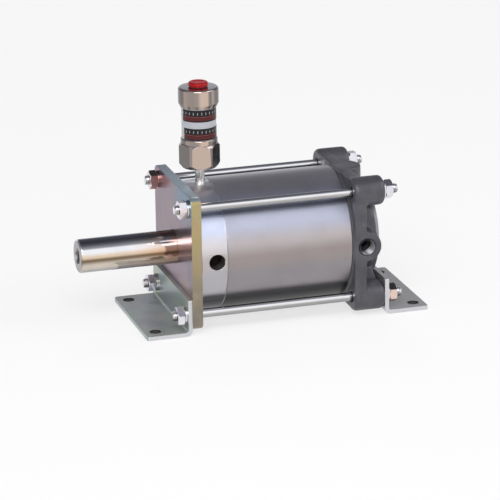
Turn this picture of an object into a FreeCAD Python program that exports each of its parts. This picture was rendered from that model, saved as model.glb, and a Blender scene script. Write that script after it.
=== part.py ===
import FreeCAD, Part
import math
import os

os.makedirs("parts", exist_ok=True)

# All sizes are in millimetres. While it is built, the cylinder axis is the X axis and X = 0 is the
# front face of the front plate: the hydraulic tube points to -X and the rear cover lies at +X.
# At the end everything is moved so that the origin is under the middle of the feet.

# Air cylinder
bore_radius = 62.5
barrel_wall = 4.0
stroke = 80.0

# Tie rods, nuts and washers
rod_barrel_gap = 6.78
rod_shank_radius = 4.5
rod_thread_radius = 5.0
rod_thread_length = 24.0
rod_front_proud = 4.0
rod_rear_proud = 6.0
rod_end_chamfer = 0.8
rod_hole_clearance = 0.4
nut_across_flats = 17.0
nut_height = 8.0
nut_thread_clearance = 0.05
nut_chamfer_angle = 30.0
washer_radius = 9.0
washer_thickness = 2.0
washer_slot = 1.2
front_nut_turns = [29.5, 52.5, 17.0, 17.5]
rear_nut_turns = [57.0, 29.0, 24.0, 58.0]

# Front plate
plate_rod_margin = 13.1
plate_thickness = 10.4
plate_corner_radius = 8.0

# Front cover
cover_thickness = 27.3
front_spigot_length = 12.3
spigot_clearance = 0.05
cover_edge_chamfer = 0.6

# Rear cover casting
shoulder_thickness = 2.2
rear_spigot_length = 9.8
flange_rod_margin = 13.1
flange_thickness = 12.7
flange_corner_radius = 12.0
boss_radius = 15.0
boss_length = 32.4
boss_front_round = 3.5
boss_rear_round = 4.0
hub_radius = 48.0
hub_flare = 3.0
hub_cast_step = 1.2
hub_rim_width = 6.5
hub_rim_height = 5.5
hub_recess_depth = 5.0
hub_recess_taper = 2.0
rib_width = 11.0
rib_hub_drop = 4.5
rib_boss_drop = 1.5
lobe_radius = 15.4
lobe_setback = 12.9
chamber_radius = 30.0
chamber_depth = 32.0

# Air and oil ports
port_radius = 8.0
port_depth = 17.0
port_chamfer = 0.9
front_port_setback = 16.2
front_port_passage_radius = 3.5
front_port_passage_inset = 13.5
rear_port_passage_radius = 5.0
outlet_depth = 16.0
outlet_passage_radius = 4.5

# Hydraulic tube and its chamber
tube_radius = 17.15
tube_end_chamfer = 1.4
tube_collar_radius = 26.0
tube_collar_thickness = 8.0
tube_fit_clearance = 0.2
tube_end_block = 38.8
chamber_end_gap = 8.0

# Ram and gland
ram_radius = 12.5
ram_nose_chamfer = 3.0
ram_spigot_radius = 9.0
ram_thread_radius = 8.0
ram_running_clearance = 0.05
ram_bore_clearance = 0.5
ram_tip_setback = 1.0
oil_gallery_radius = 15.5
oil_gallery_width = 5.6
gallery_land = 1.3
high_pressure_seal_width = 5.0
high_pressure_seal_section = 4.0
backup_ring_width = 1.4
gland_section = 4.5
gland_bush_length = 10.0
rod_seal_width = 5.0
retaining_ring_thickness = 1.2
retaining_ring_groove_depth = 1.2
retaining_ring_gap_angle = 50.0

# Air piston
piston_rim_clearance = 0.4
piston_seal_width = 5.5
piston_seal_depth = 7.0
piston_wear_width = 6.0
piston_wear_depth = 2.2
piston_land = 1.5
piston_relief_inner = 24.0
piston_relief_outer = 35.0
piston_relief_depth = 5.0
ram_washer_radius = 15.0
ram_washer_thickness = 2.5
ram_nut_across_flats = 24.0
ram_nut_height = 9.0
nut_recess_clearance = 1.0

# Static seals and bumpers
oring_radius = 2.2
oring_groove_width = 4.6
small_oring_radius = 1.2
small_groove_width = 2.8
seal_clearance = 0.05
bumper_inner_radius = 38.0
bumper_width = 9.0
bumper_seat_depth = 2.5
bumper_proud = 2.5

# Feet
foot_thickness = 4.3
foot_rod_margin = 11.0
foot_length = 46.6
foot_leg_above_rod = 18.9
foot_bend_radius = 2.2
foot_corner_radius = 3.0
foot_hole_radius = 5.5
foot_hole_setback = 35.0
foot_hole_side_margin = 14.0
foot_plate_clearance = 6.2

# Oil cup on the front cover
cup_setback = 18.4
nipple_radius = 4.7
nipple_bore_radius = 2.5
nipple_thread_depth = 9.0
nipple_height = 15.0
cup_neck_radius = 7.4
cup_neck_height = 3.6
cup_neck_taper = 1.4
cup_hex_across_flats = 37.0
cup_hex_corner_radius = 20.6
cup_hex_height = 24.5
cup_hex_turn = -10.2
cup_hex_foot_radius = 17.4
cup_hex_foot_chamfer = 4.0
cup_hex_top_radius = 18.6
cup_hex_top_chamfer = 2.6
cup_shoulder_radius = 18.6
cup_shoulder_height = 6.0
cup_shoulder_round = 1.6
cup_groove_radius = 17.7
cup_groove_height = 1.2
cup_seat_depth = 5.0
cup_floor = 9.0
sight_outer_radius = 17.5
sight_wall = 3.0
sight_visible_height = 31.9
sight_fit_clearance = 0.1
sight_gasket_thickness = 1.2
cap_bottom_radius = 18.5
cap_top_radius = 20.4
cap_taper_height = 4.2
cap_height = 19.8
cap_edge_round = 2.2
cap_seat_depth = 6.0
cap_roof = 5.0
label_height = 12.1
label_thickness = 0.15
label_gap = 6.8
label_base_gap = 0.15
label_lower_angle = -162.0
label_upper_angle = -168.0
label_sweep_angle = 190.0

# Filler plug in the cup's cap
plug_flange_radius = 10.0
plug_flange_height = 4.6
plug_edge_round = 2.0
plug_neck_radius = 9.2
plug_neck_height = 0.4
plug_lip_height = 0.3
plug_stem_radius = 6.4
plug_stem_depth = 9.0
plug_stem_chamfer = 1.0
plug_core_radius = 4.2
plug_core_depth = 12.0
plug_running_clearance = 0.1
plug_gasket_thickness = 0.5
plug_gasket_inset = 0.5

# Sizes across the cylinder, worked out from the sizes above
barrel_radius = bore_radius + barrel_wall
rod_offset = (barrel_radius + rod_barrel_gap + rod_shank_radius) / math.sqrt(2)
rod_hole_radius = rod_thread_radius + rod_hole_clearance
plate_size = 2 * (rod_offset + plate_rod_margin)
flange_size = 2 * (rod_offset + flange_rod_margin)
foot_axis_height = max(plate_size, flange_size) / 2 + foot_plate_clearance
foot_leg_height = foot_axis_height - rod_offset + foot_leg_above_rod
foot_width = 2 * (rod_offset + foot_rod_margin)
foot_hole_spacing = foot_width - 2 * foot_hole_side_margin

# Places along the cylinder axis
spigot_radius = bore_radius - spigot_clearance
piston_thickness = 2 * piston_seal_width + piston_wear_width + 4 * piston_land
cover_front = plate_thickness
barrel_front = cover_front + cover_thickness
front_spigot_end = barrel_front + front_spigot_length
barrel_length = front_spigot_length + stroke + piston_thickness + 2 * bumper_proud + rear_spigot_length
barrel_rear = barrel_front + barrel_length
rear_spigot_end = barrel_rear - rear_spigot_length
piston_rear = rear_spigot_end - bumper_proud
piston_front = piston_rear - piston_thickness
flange_front = barrel_rear + shoulder_thickness
flange_rear = flange_front + flange_thickness
boss_rear = flange_front + boss_length
lobe_x = flange_front + lobe_setback
collar_rear = cover_front + tube_collar_thickness
seal_pocket_rear = collar_rear + high_pressure_seal_width + backup_ring_width
gallery_front = seal_pocket_rear + gallery_land
gallery_rear = gallery_front + oil_gallery_width
gland_front = gallery_rear + gallery_land
gland_radius = ram_radius + gland_section
retaining_ring_front = gland_front + gland_bush_length + rod_seal_width
ram_tip = gallery_front + ram_tip_setback
chamber_front = ram_tip - stroke - chamber_end_gap
tube_front = chamber_front - tube_end_block
front_port_x = cover_front + front_port_setback
cup_x = cover_front + cup_setback

X_AXIS = FreeCAD.Vector(1, 0, 0)
Y_AXIS = FreeCAD.Vector(0, 1, 0)
Z_AXIS = FreeCAD.Vector(0, 0, 1)
ROD_SIGNS = [(-1, 1), (1, 1), (1, -1), (-1, -1)]


def point(x, y, z):
    return FreeCAD.Vector(x, y, z)


def rod(radius, x_start, x_end, y=0.0, z=0.0):
    """A cylinder along X from x_start to x_end."""
    return Part.makeCylinder(radius, x_end - x_start, point(x_start, y, z), X_AXIS)


def upright(radius, z_start, z_end, x, y=0.0):
    """A cylinder along Z from z_start to z_end."""
    return Part.makeCylinder(radius, z_end - z_start, point(x, y, z_start), Z_AXIS)


def face_of(points):
    return Part.Face(Part.makePolygon(points + [points[0]]))


def outline(corners, place):
    """A face through (a, b) corners, set in space by place. A third value rounds its corner."""
    flat = [point(corner[0], corner[1], 0) for corner in corners]
    spans = []
    for index, corner in enumerate(corners):
        here = flat[index]
        if len(corner) == 2:
            spans.append((here, None, here))
            continue
        back = (flat[index - 1] - here).normalize()
        ahead = (flat[(index + 1) % len(flat)] - here).normalize()
        half = back.getAngle(ahead) / 2
        reach = corner[2] / math.tan(half)
        inward = (back + ahead).normalize() * (corner[2] / math.sin(half) - corner[2])
        spans.append((here + back * reach, here + inward, here + ahead * reach))
    edges = []
    for index, (start, middle, end) in enumerate(spans):
        following = spans[(index + 1) % len(spans)][0]
        if middle:
            ends = [place(v.x, v.y) for v in (start, middle, end)]
            edges.append(Part.Arc(*ends).toShape())
        if end.distanceToPoint(following) > 1e-6:
            ends = [place(v.x, v.y) for v in (end, following)]
            edges.append(Part.LineSegment(*ends).toShape())
    return Part.Face(Part.Wire(edges))


def turned(profile, y=0.0, z=0.0):
    """Revolve (x, radius) corners about a line along X."""
    face = outline(profile, lambda x, radius: point(x, y, z + radius))
    return face.revolve(point(0, y, z), X_AXIS, 360)


def turned_upright(profile, x):
    """Revolve (radius, z) corners about a line along Z."""
    face = outline(profile, lambda radius, z: point(x + radius, 0, z))
    return face.revolve(point(x, 0, 0), Z_AXIS, 360)


def rounded_square(size, corner_radius, x_start, x_end):
    """A square plate across X whose four edges along X are rounded."""
    half = size / 2
    corner = half - corner_radius
    body = Part.makeBox(x_end - x_start, size, 2 * corner, point(x_start, -half, -corner))
    body = body.fuse(Part.makeBox(x_end - x_start, 2 * corner, size, point(x_start, -corner, -half)))
    for y_sign, z_sign in ROD_SIGNS:
        body = body.fuse(rod(corner_radius, x_start, x_end, y_sign * corner, z_sign * corner))
    return body.removeSplitter()


def hexagon(across_flats, height, axis, place, turn):
    """A hexagonal prism that starts at place and runs along axis."""
    radius = across_flats / math.sqrt(3)
    corners = []
    for index in range(6):
        angle = math.radians(turn + 60 * index)
        corners.append(point(radius * math.cos(angle), radius * math.sin(angle), 0))
    prism = face_of(corners).extrude(point(0, 0, height))
    prism.Placement = FreeCAD.Placement(place, FreeCAD.Rotation(Z_AXIS, axis))
    return prism


def chamfered_nut(across_flats, height, hole_radius, x_start, y, z, turn):
    """A hexagon nut along X with both faces chamfered by the usual cone."""
    corner_radius = across_flats / math.sqrt(3)
    face_radius = across_flats * 0.475
    drop = (corner_radius - face_radius) * math.tan(math.radians(nut_chamfer_angle))
    x_end = x_start + height
    cone = turned([(x_start, 0), (x_start, face_radius), (x_start + drop, corner_radius),
                   (x_end - drop, corner_radius), (x_end, face_radius), (x_end, 0)], y, z)
    body = hexagon(across_flats, height, X_AXIS, point(x_start, y, z), turn).common(cone)
    return body.cut(rod(hole_radius, x_start, x_end, y, z))


def u_seal(inner_radius, outer_radius, x_open, x_back):
    """A lip seal ring whose groove opens towards x_open."""
    section = outer_radius - inner_radius
    groove_depth = 0.55 * (x_back - x_open)
    return turned([
        (x_open, inner_radius), (x_open, inner_radius + 0.25 * section),
        (x_open + groove_depth, inner_radius + 0.38 * section),
        (x_open + groove_depth, outer_radius - 0.38 * section),
        (x_open, outer_radius - 0.25 * section), (x_open, outer_radius),
        (x_back, outer_radius), (x_back, inner_radius)])


def ring(inner_radius, outer_radius, x_start, x_end):
    return rod(outer_radius, x_start, x_end).cut(rod(inner_radius, x_start, x_end))


def make_front_plate():
    body = rounded_square(plate_size, plate_corner_radius, 0, plate_thickness)
    body = body.cut(rod(tube_radius + tube_fit_clearance, 0, plate_thickness))
    for y_sign, z_sign in ROD_SIGNS:
        hole = rod(rod_hole_radius, 0, plate_thickness, y_sign * rod_offset, z_sign * rod_offset)
        body = body.cut(hole)
    return body


def make_hydraulic_tube():
    outlet_floor = tube_front + outlet_depth
    bore = ram_radius + ram_bore_clearance
    groove_centre = (bore + tube_collar_radius) / 2
    groove_inner = groove_centre - small_groove_width / 2
    groove_outer = groove_centre + small_groove_width / 2
    groove_floor = collar_rear - 2 * small_oring_radius + seal_clearance
    return turned([
        (tube_front, port_radius + port_chamfer), (tube_front, tube_radius - tube_end_chamfer),
        (tube_front + tube_end_chamfer, tube_radius), (cover_front, tube_radius),
        (cover_front, tube_collar_radius), (collar_rear, tube_collar_radius),
        (collar_rear, groove_outer), (groove_floor, groove_outer),
        (groove_floor, groove_inner), (collar_rear, groove_inner),
        (collar_rear, bore), (chamber_front, bore),
        (chamber_front, outlet_passage_radius), (outlet_floor, outlet_passage_radius),
        (outlet_floor, port_radius), (tube_front + port_chamfer, port_radius)])


def make_front_cover():
    seal_pocket = ram_radius + high_pressure_seal_section
    land = ram_radius + ram_bore_clearance
    ring_groove = gland_radius + retaining_ring_groove_depth
    ring_groove_rear = retaining_ring_front + retaining_ring_thickness + seal_clearance
    collar_pocket = tube_collar_radius + tube_fit_clearance
    body = turned([
        (cover_front, collar_pocket), (cover_front, barrel_radius - cover_edge_chamfer),
        (cover_front + cover_edge_chamfer, barrel_radius),
        (barrel_front - cover_edge_chamfer, barrel_radius),
        (barrel_front, barrel_radius - cover_edge_chamfer), (barrel_front, spigot_radius),
        (front_spigot_end, spigot_radius), (front_spigot_end, gland_radius),
        (ring_groove_rear, gland_radius), (ring_groove_rear, ring_groove),
        (retaining_ring_front, ring_groove), (retaining_ring_front, gland_radius),
        (gland_front, gland_radius), (gland_front, land), (gallery_rear, land),
        (gallery_rear, oil_gallery_radius), (gallery_front, oil_gallery_radius),
        (gallery_front, land), (seal_pocket_rear, land), (seal_pocket_rear, seal_pocket),
        (collar_rear, seal_pocket), (collar_rear, collar_pocket)])
    body = body.cut(barrel_seal_groove(barrel_front, front_spigot_length))
    body = body.cut(bumper_seat(front_spigot_end - bumper_seat_depth, front_spigot_end))
    body = body.cut(port_hole(front_port_x, barrel_radius))
    passage_y = front_port_passage_inset - barrel_radius
    body = body.cut(rod(front_port_passage_radius, front_port_x, front_spigot_end, passage_y))
    thread_floor = barrel_radius - nipple_thread_depth
    body = body.cut(upright(nipple_radius + seal_clearance, thread_floor, barrel_radius + 1, cup_x))
    return body.cut(upright(nipple_bore_radius, oil_gallery_radius - 1, thread_floor, cup_x))


def port_hole(x, face_distance):
    """A tapped port along Y, chamfered at its mouth on the -Y side."""
    mouth = point(x, -face_distance, 0)
    hole = Part.makeCylinder(port_radius, port_depth, mouth, Y_AXIS)
    chamfer = Part.makeCone(port_radius + port_chamfer, port_radius, port_chamfer, mouth, Y_AXIS)
    outside = Part.makeCylinder(port_radius + port_chamfer, port_depth, mouth, -Y_AXIS)
    return hole.fuse(chamfer).fuse(outside)


def barrel_seal_groove(barrel_end, spigot):
    """The groove for a cover's static seal, halfway along the spigot inside the barrel."""
    middle = barrel_end + spigot / 2
    floor = spigot_radius - 2 * oring_radius
    half = oring_groove_width / 2
    return ring(floor, spigot_radius + 1, middle - half, middle + half)


def barrel_seal(barrel_end, spigot):
    middle = barrel_end + spigot / 2
    radius = spigot_radius - oring_radius - seal_clearance
    return Part.makeTorus(radius, oring_radius - seal_clearance, point(middle, 0, 0), X_AXIS)


def bumper_seat(x_start, x_end):
    return ring(bumper_inner_radius, bumper_inner_radius + bumper_width, x_start, x_end)


def make_bumper(x_start, x_end):
    inner = bumper_inner_radius + seal_clearance
    outer = bumper_inner_radius + bumper_width - seal_clearance
    return ring(inner, outer, x_start, x_end)


def make_barrel():
    chamfer = cover_edge_chamfer
    return turned([
        (barrel_front, bore_radius), (barrel_front, barrel_radius - chamfer),
        (barrel_front + chamfer, barrel_radius), (barrel_rear - chamfer, barrel_radius),
        (barrel_rear, barrel_radius - chamfer), (barrel_rear, bore_radius)])


def make_rear_boss(y, z):
    return turned([(flange_front, 0), (flange_front, boss_radius, boss_front_round),
                   (boss_rear, boss_radius, boss_rear_round), (boss_rear, 0)], y, z)


def make_rib(y_sign, z_sign):
    """A web from the hub to one corner boss, a little lower than both."""
    reach = rod_offset * math.sqrt(2)
    inner = hub_radius - hub_rim_width
    profile = [point(flange_front, 0, inner), point(boss_rear - rib_hub_drop, 0, inner),
               point(boss_rear - rib_hub_drop, 0, hub_radius),
               point(boss_rear - rib_boss_drop, 0, reach), point(flange_front, 0, reach)]
    web = face_of(profile).extrude(point(0, rib_width, 0))
    web.translate(point(0, -rib_width / 2, 0))
    web.rotate(point(0, 0, 0), X_AXIS, math.degrees(math.atan2(-y_sign, z_sign)))
    return web


def make_lobe(turn):
    """A half-round swelling from one side of the flange to the hub, thick enough for a port."""
    face_distance = flange_size / 2
    lobe = Part.makeCylinder(lobe_radius, face_distance - chamber_radius,
                             point(lobe_x, -face_distance, 0), Y_AXIS)
    behind = Part.makeBox(boss_length, face_distance, 2 * lobe_radius,
                          point(flange_front, -face_distance, -lobe_radius))
    lobe = lobe.common(behind)
    lobe.rotate(point(0, 0, 0), X_AXIS, turn)
    return lobe


def make_hub():
    rim_start = boss_rear - hub_rim_height
    cast_radius = hub_radius + hub_cast_step
    return turned([
        (flange_front, 0), (flange_front, cast_radius + hub_flare),
        (flange_rear, cast_radius + hub_flare), (rim_start - hub_flare, cast_radius, hub_flare),
        (rim_start, cast_radius), (rim_start, hub_radius), (boss_rear, hub_radius),
        (boss_rear, hub_radius - hub_rim_width),
        (boss_rear - hub_recess_depth, hub_radius - hub_rim_width - hub_recess_taper),
        (boss_rear - hub_recess_depth, 0)])


def make_rear_cover():
    body = turned([
        (rear_spigot_end, 0), (rear_spigot_end, spigot_radius), (barrel_rear, spigot_radius),
        (barrel_rear, barrel_radius), (flange_front, barrel_radius), (flange_front, 0)])
    body = body.fuse(rounded_square(flange_size, flange_corner_radius, flange_front, flange_rear))
    body = body.fuse(make_hub())
    for y_sign, z_sign in ROD_SIGNS:
        rib = make_rib(y_sign, z_sign)
        body = body.fuse(rib).fuse(make_rear_boss(y_sign * rod_offset, z_sign * rod_offset))
    for turn in (0, 90, 180, 270):
        body = body.fuse(make_lobe(turn))
    body = body.cut(rod(chamber_radius, rear_spigot_end, rear_spigot_end + chamber_depth))
    body = body.cut(barrel_seal_groove(barrel_rear, -rear_spigot_length))
    body = body.cut(bumper_seat(rear_spigot_end, rear_spigot_end + bumper_seat_depth))
    face_distance = flange_size / 2
    body = body.cut(port_hole(lobe_x, face_distance))
    mouth = point(lobe_x, -face_distance, 0)
    body = body.cut(Part.makeCylinder(rear_port_passage_radius, face_distance, mouth, Y_AXIS))
    for y_sign, z_sign in ROD_SIGNS:
        y, z = y_sign * rod_offset, z_sign * rod_offset
        body = body.cut(rod(rod_hole_radius, flange_front, boss_rear, y, z))
    return body.removeSplitter()


def foot_grip(z_sign):
    """The lower rods also pass through the feet."""
    return foot_thickness if z_sign < 0 else 0.0


def front_nut_start(z_sign):
    return -(foot_grip(z_sign) + washer_thickness + nut_height)


def rear_nut_start(z_sign):
    return boss_rear + foot_grip(z_sign) + washer_thickness


def make_tie_rod(y_sign, z_sign):
    front = front_nut_start(z_sign) - rod_front_proud
    rear = rear_nut_start(z_sign) + nut_height + rod_rear_proud
    tip = rod_thread_radius - rod_end_chamfer
    return turned([
        (front, 0), (front, tip), (front + rod_end_chamfer, rod_thread_radius),
        (front + rod_thread_length, rod_thread_radius),
        (front + rod_thread_length, rod_shank_radius),
        (rear - rod_thread_length, rod_shank_radius),
        (rear - rod_thread_length, rod_thread_radius),
        (rear - rod_end_chamfer, rod_thread_radius), (rear, tip), (rear, 0)],
        y_sign * rod_offset, z_sign * rod_offset)


def make_nuts(start_of, turns):
    nuts = []
    hole = rod_thread_radius + nut_thread_clearance
    for (y_sign, z_sign), turn in zip(ROD_SIGNS, turns):
        y, z = y_sign * rod_offset, z_sign * rod_offset
        nuts.append(chamfered_nut(nut_across_flats, nut_height, hole, start_of(z_sign), y, z, turn))
    return Part.makeCompound(nuts)


def make_spring_washers(start_of):
    """Split rings under the four nuts, each with its slot at the top."""
    washers = []
    for y_sign, z_sign in ROD_SIGNS:
        start = start_of(z_sign)
        end = start + washer_thickness
        y, z = y_sign * rod_offset, z_sign * rod_offset
        washer = rod(washer_radius, start, end, y, z).cut(rod(rod_hole_radius, start, end, y, z))
        slot = Part.makeBox(washer_thickness, washer_slot, washer_radius + 1,
                            point(start, y - washer_slot / 2, z))
        washers.append(washer.cut(slot))
    return Part.makeCompound(washers)


def rounded_tab(length, width, corner_radius, thickness):
    """A plate from x = 0 whose two far corners are rounded, with z = 0 as its lower face."""
    half = width / 2
    face = outline([(0, -half), (length, -half, corner_radius), (length, half, corner_radius),
                    (0, half)], lambda x, y: point(x, y, 0))
    return face.extrude(point(0, 0, thickness))


def make_foot(face_x, direction):
    """An angle foot whose upright leg lies on face_x and whose floor leg runs along direction."""
    outer_bend = foot_bend_radius + foot_thickness
    section = outline([
        (0, 0, outer_bend), (foot_length, 0), (foot_length, foot_thickness),
        (foot_thickness, foot_thickness, foot_bend_radius), (foot_thickness, foot_leg_height),
        (0, foot_leg_height)], lambda x, z: point(x, -foot_width / 2, z))
    body = section.extrude(point(0, foot_width, 0))
    floor_shape = rounded_tab(foot_length, foot_width, foot_corner_radius, foot_leg_height)
    leg_shape = rounded_tab(foot_leg_height, foot_width, foot_corner_radius, foot_length)
    leg_shape.rotate(point(0, 0, 0), Y_AXIS, -90)
    leg_shape.translate(point(foot_length, 0, 0))
    body = body.common(floor_shape).common(leg_shape)
    for hole_y in (-foot_hole_spacing / 2, foot_hole_spacing / 2):
        body = body.cut(upright(foot_hole_radius, 0, foot_thickness, foot_hole_setback, hole_y))
    rod_height = foot_axis_height - rod_offset
    for rod_y in (-rod_offset, rod_offset):
        body = body.cut(rod(rod_hole_radius, 0, foot_thickness, rod_y, rod_height))
    if direction < 0:
        body.rotate(point(0, 0, 0), Z_AXIS, 180)
    body.translate(point(face_x, 0, -foot_axis_height))
    return body


def make_ram():
    thread_end = ram_nut_face() + ram_nut_height + 2
    return turned([
        (ram_tip, 0), (ram_tip, ram_radius - ram_nose_chamfer),
        (ram_tip + ram_nose_chamfer, ram_radius), (piston_front, ram_radius),
        (piston_front, ram_spigot_radius), (ram_washer_face(), ram_spigot_radius),
        (ram_washer_face(), ram_thread_radius), (thread_end - 1, ram_thread_radius),
        (thread_end, ram_thread_radius - 1), (thread_end, 0)])


def nut_recess_depth():
    return ram_washer_thickness + ram_nut_height - 2


def ram_washer_face():
    return piston_rear - nut_recess_depth()


def ram_nut_face():
    return ram_washer_face() + ram_washer_thickness


def piston_groove_start(index):
    """Where the front seal, the wear ring and the rear seal start, for index 0, 1 and 2."""
    widths = [piston_seal_width, piston_wear_width, piston_seal_width]
    return piston_front + piston_land * (index + 1) + sum(widths[:index])


def make_air_piston():
    rim = bore_radius - piston_rim_clearance
    body = rod(rim, piston_front, piston_rear)
    body = body.cut(rod(ram_spigot_radius + seal_clearance, piston_front, piston_rear))
    recess = ram_washer_radius + nut_recess_clearance
    body = body.cut(rod(recess, ram_washer_face(), piston_rear))
    for start in (piston_front, piston_rear - piston_relief_depth):
        end = start + piston_relief_depth
        body = body.cut(ring(piston_relief_inner, piston_relief_outer, start, end))
    for index, (width, depth) in enumerate([(piston_seal_width, piston_seal_depth),
                                            (piston_wear_width, piston_wear_depth),
                                            (piston_seal_width, piston_seal_depth)]):
        start = piston_groove_start(index)
        body = body.cut(ring(bore_radius - depth, bore_radius, start, start + width))
    middle = piston_front + piston_thickness / 4
    half = small_groove_width / 2
    floor = ram_spigot_radius + 2 * small_oring_radius
    return body.cut(rod(floor, middle - half, middle + half))


def make_piston_seal(index):
    start = piston_groove_start(index) + seal_clearance
    end = start + piston_seal_width - 2 * seal_clearance
    inner = bore_radius - piston_seal_depth + seal_clearance
    outer = bore_radius - ram_running_clearance
    return u_seal(inner, outer, start, end) if index == 0 else u_seal(inner, outer, end, start)


def make_wear_ring():
    start = piston_groove_start(1) + seal_clearance
    end = start + piston_wear_width - 2 * seal_clearance
    inner = bore_radius - piston_wear_depth + seal_clearance
    return ring(inner, bore_radius - ram_running_clearance, start, end)


def make_ram_oring():
    middle = piston_front + piston_thickness / 4
    radius = ram_spigot_radius + small_oring_radius
    return Part.makeTorus(radius, small_oring_radius - seal_clearance, point(middle, 0, 0), X_AXIS)


def make_ram_washer():
    inner = ram_thread_radius + seal_clearance
    return ring(inner, ram_washer_radius, ram_washer_face(), ram_nut_face())


def make_ram_nut():
    hole = ram_thread_radius + nut_thread_clearance
    return chamfered_nut(ram_nut_across_flats, ram_nut_height, hole, ram_nut_face(), 0, 0, 0)


def make_high_pressure_seal():
    inner = ram_radius + ram_running_clearance
    outer = ram_radius + high_pressure_seal_section - seal_clearance
    return u_seal(inner, outer, collar_rear, collar_rear + high_pressure_seal_width)


def make_backup_ring():
    start = collar_rear + high_pressure_seal_width
    outer = ram_radius + high_pressure_seal_section - seal_clearance
    return ring(ram_radius + ram_running_clearance, outer, start, seal_pocket_rear)


def make_gland_bush():
    inner = ram_radius + ram_running_clearance
    return ring(inner, gland_radius - seal_clearance, gland_front, gland_front + gland_bush_length)


def make_rod_seal():
    start = gland_front + gland_bush_length
    inner = ram_radius + ram_running_clearance
    return u_seal(inner, gland_radius - seal_clearance, start + rod_seal_width, start)


def make_retaining_ring():
    start = retaining_ring_front
    end = start + retaining_ring_thickness
    outer = gland_radius + retaining_ring_groove_depth - seal_clearance
    body = ring(ram_radius + ram_bore_clearance, outer, start, end)
    half_gap = math.radians(retaining_ring_gap_angle / 2)
    reach = 2 * outer
    side, top = reach * math.sin(half_gap), reach * math.cos(half_gap)
    wedge = face_of([point(start, 0, 0), point(start, side, top), point(start, -side, top)])
    return body.cut(wedge.extrude(point(retaining_ring_thickness, 0, 0)))


def make_tube_seal():
    bore = ram_radius + ram_bore_clearance
    groove_centre = (bore + tube_collar_radius) / 2
    place = point(collar_rear - small_oring_radius, 0, 0)
    return Part.makeTorus(groove_centre, small_oring_radius - seal_clearance, place, X_AXIS)


# Heights of the oil cup above the cylinder axis
cup_base_bottom = barrel_radius + nipple_height
cup_hex_top = cup_base_bottom + cup_hex_height
cup_base_top = cup_hex_top + cup_shoulder_height
cap_bottom = cup_base_top + sight_visible_height
cap_top = cap_bottom + cap_height
sight_bottom = cup_base_top - cup_seat_depth + sight_gasket_thickness
sight_top = cap_bottom + cap_seat_depth - sight_gasket_thickness
sight_inner_radius = sight_outer_radius - sight_wall
nipple_top = cup_base_bottom + nipple_thread_depth / 2


def make_nipple():
    bottom = barrel_radius - nipple_thread_depth
    body = upright(nipple_radius, bottom, nipple_top, cup_x)
    return body.cut(upright(nipple_bore_radius, bottom, nipple_top, cup_x))


def make_cup_base():
    """The hexagon body that holds the sight tube, with turned corners and a round shoulder."""
    limit = turned_upright([
        (0, cup_base_bottom), (cup_hex_foot_radius, cup_base_bottom),
        (cup_hex_corner_radius, cup_base_bottom + cup_hex_foot_chamfer),
        (cup_hex_corner_radius, cup_hex_top - cup_hex_top_chamfer),
        (cup_hex_top_radius, cup_hex_top), (0, cup_hex_top)], cup_x)
    body = hexagon(cup_hex_across_flats, cup_hex_height, Z_AXIS,
                   point(cup_x, 0, cup_base_bottom), cup_hex_turn).common(limit)
    groove_top = cup_hex_top + cup_groove_height
    neck_bottom = cup_base_bottom - cup_neck_height
    body = body.fuse(turned_upright([
        (0, neck_bottom), (cup_neck_radius - cup_neck_taper, neck_bottom),
        (cup_neck_radius, cup_base_bottom), (cup_neck_radius, cup_hex_top - cup_hex_top_chamfer),
        (cup_groove_radius, cup_hex_top - cup_hex_top_chamfer), (cup_groove_radius, groove_top),
        (cup_shoulder_radius, groove_top), (cup_shoulder_radius, cup_base_top, cup_shoulder_round),
        (0, cup_base_top)], cup_x))
    seat = cup_base_top - cup_seat_depth
    floor = cup_base_bottom + cup_floor
    body = body.cut(upright(sight_inner_radius, floor, cup_base_top, cup_x))
    body = body.cut(upright(sight_outer_radius + sight_fit_clearance, seat, cup_base_top, cup_x))
    body = body.cut(upright(nipple_radius + seal_clearance, neck_bottom, nipple_top, cup_x))
    return body.cut(upright(nipple_bore_radius, nipple_top, floor, cup_x))


def make_sight_gasket(z_start):
    outer = upright(sight_outer_radius, z_start, z_start + sight_gasket_thickness, cup_x)
    return outer.cut(upright(sight_inner_radius, z_start, z_start + sight_gasket_thickness, cup_x))


def make_sight_tube():
    body = upright(sight_outer_radius, sight_bottom, sight_top, cup_x)
    return body.cut(upright(sight_inner_radius, sight_bottom, sight_top, cup_x))


def make_level_label(z_start, start_angle):
    """A thin sticker wrapped part of the way round the sight tube."""
    inner = sight_outer_radius
    outer = inner + label_thickness
    face = face_of([point(cup_x + inner, 0, z_start), point(cup_x + outer, 0, z_start),
                    point(cup_x + outer, 0, z_start + label_height),
                    point(cup_x + inner, 0, z_start + label_height)])
    face.rotate(point(cup_x, 0, 0), Z_AXIS, start_angle)
    return face.revolve(point(cup_x, 0, 0), Z_AXIS, label_sweep_angle)


def make_cup_cap():
    seat = cap_bottom + cap_seat_depth
    roof = cap_top - cap_roof
    seat_radius = sight_outer_radius + sight_fit_clearance
    neck = plug_stem_radius + plug_running_clearance
    return turned_upright([
        (seat_radius, cap_bottom), (cap_bottom_radius, cap_bottom),
        (cap_top_radius, cap_bottom + cap_taper_height), (cap_top_radius, cap_top, cap_edge_round),
        (neck, cap_top), (neck, roof), (sight_inner_radius, roof), (sight_inner_radius, seat),
        (seat_radius, seat)], cup_x)


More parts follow.
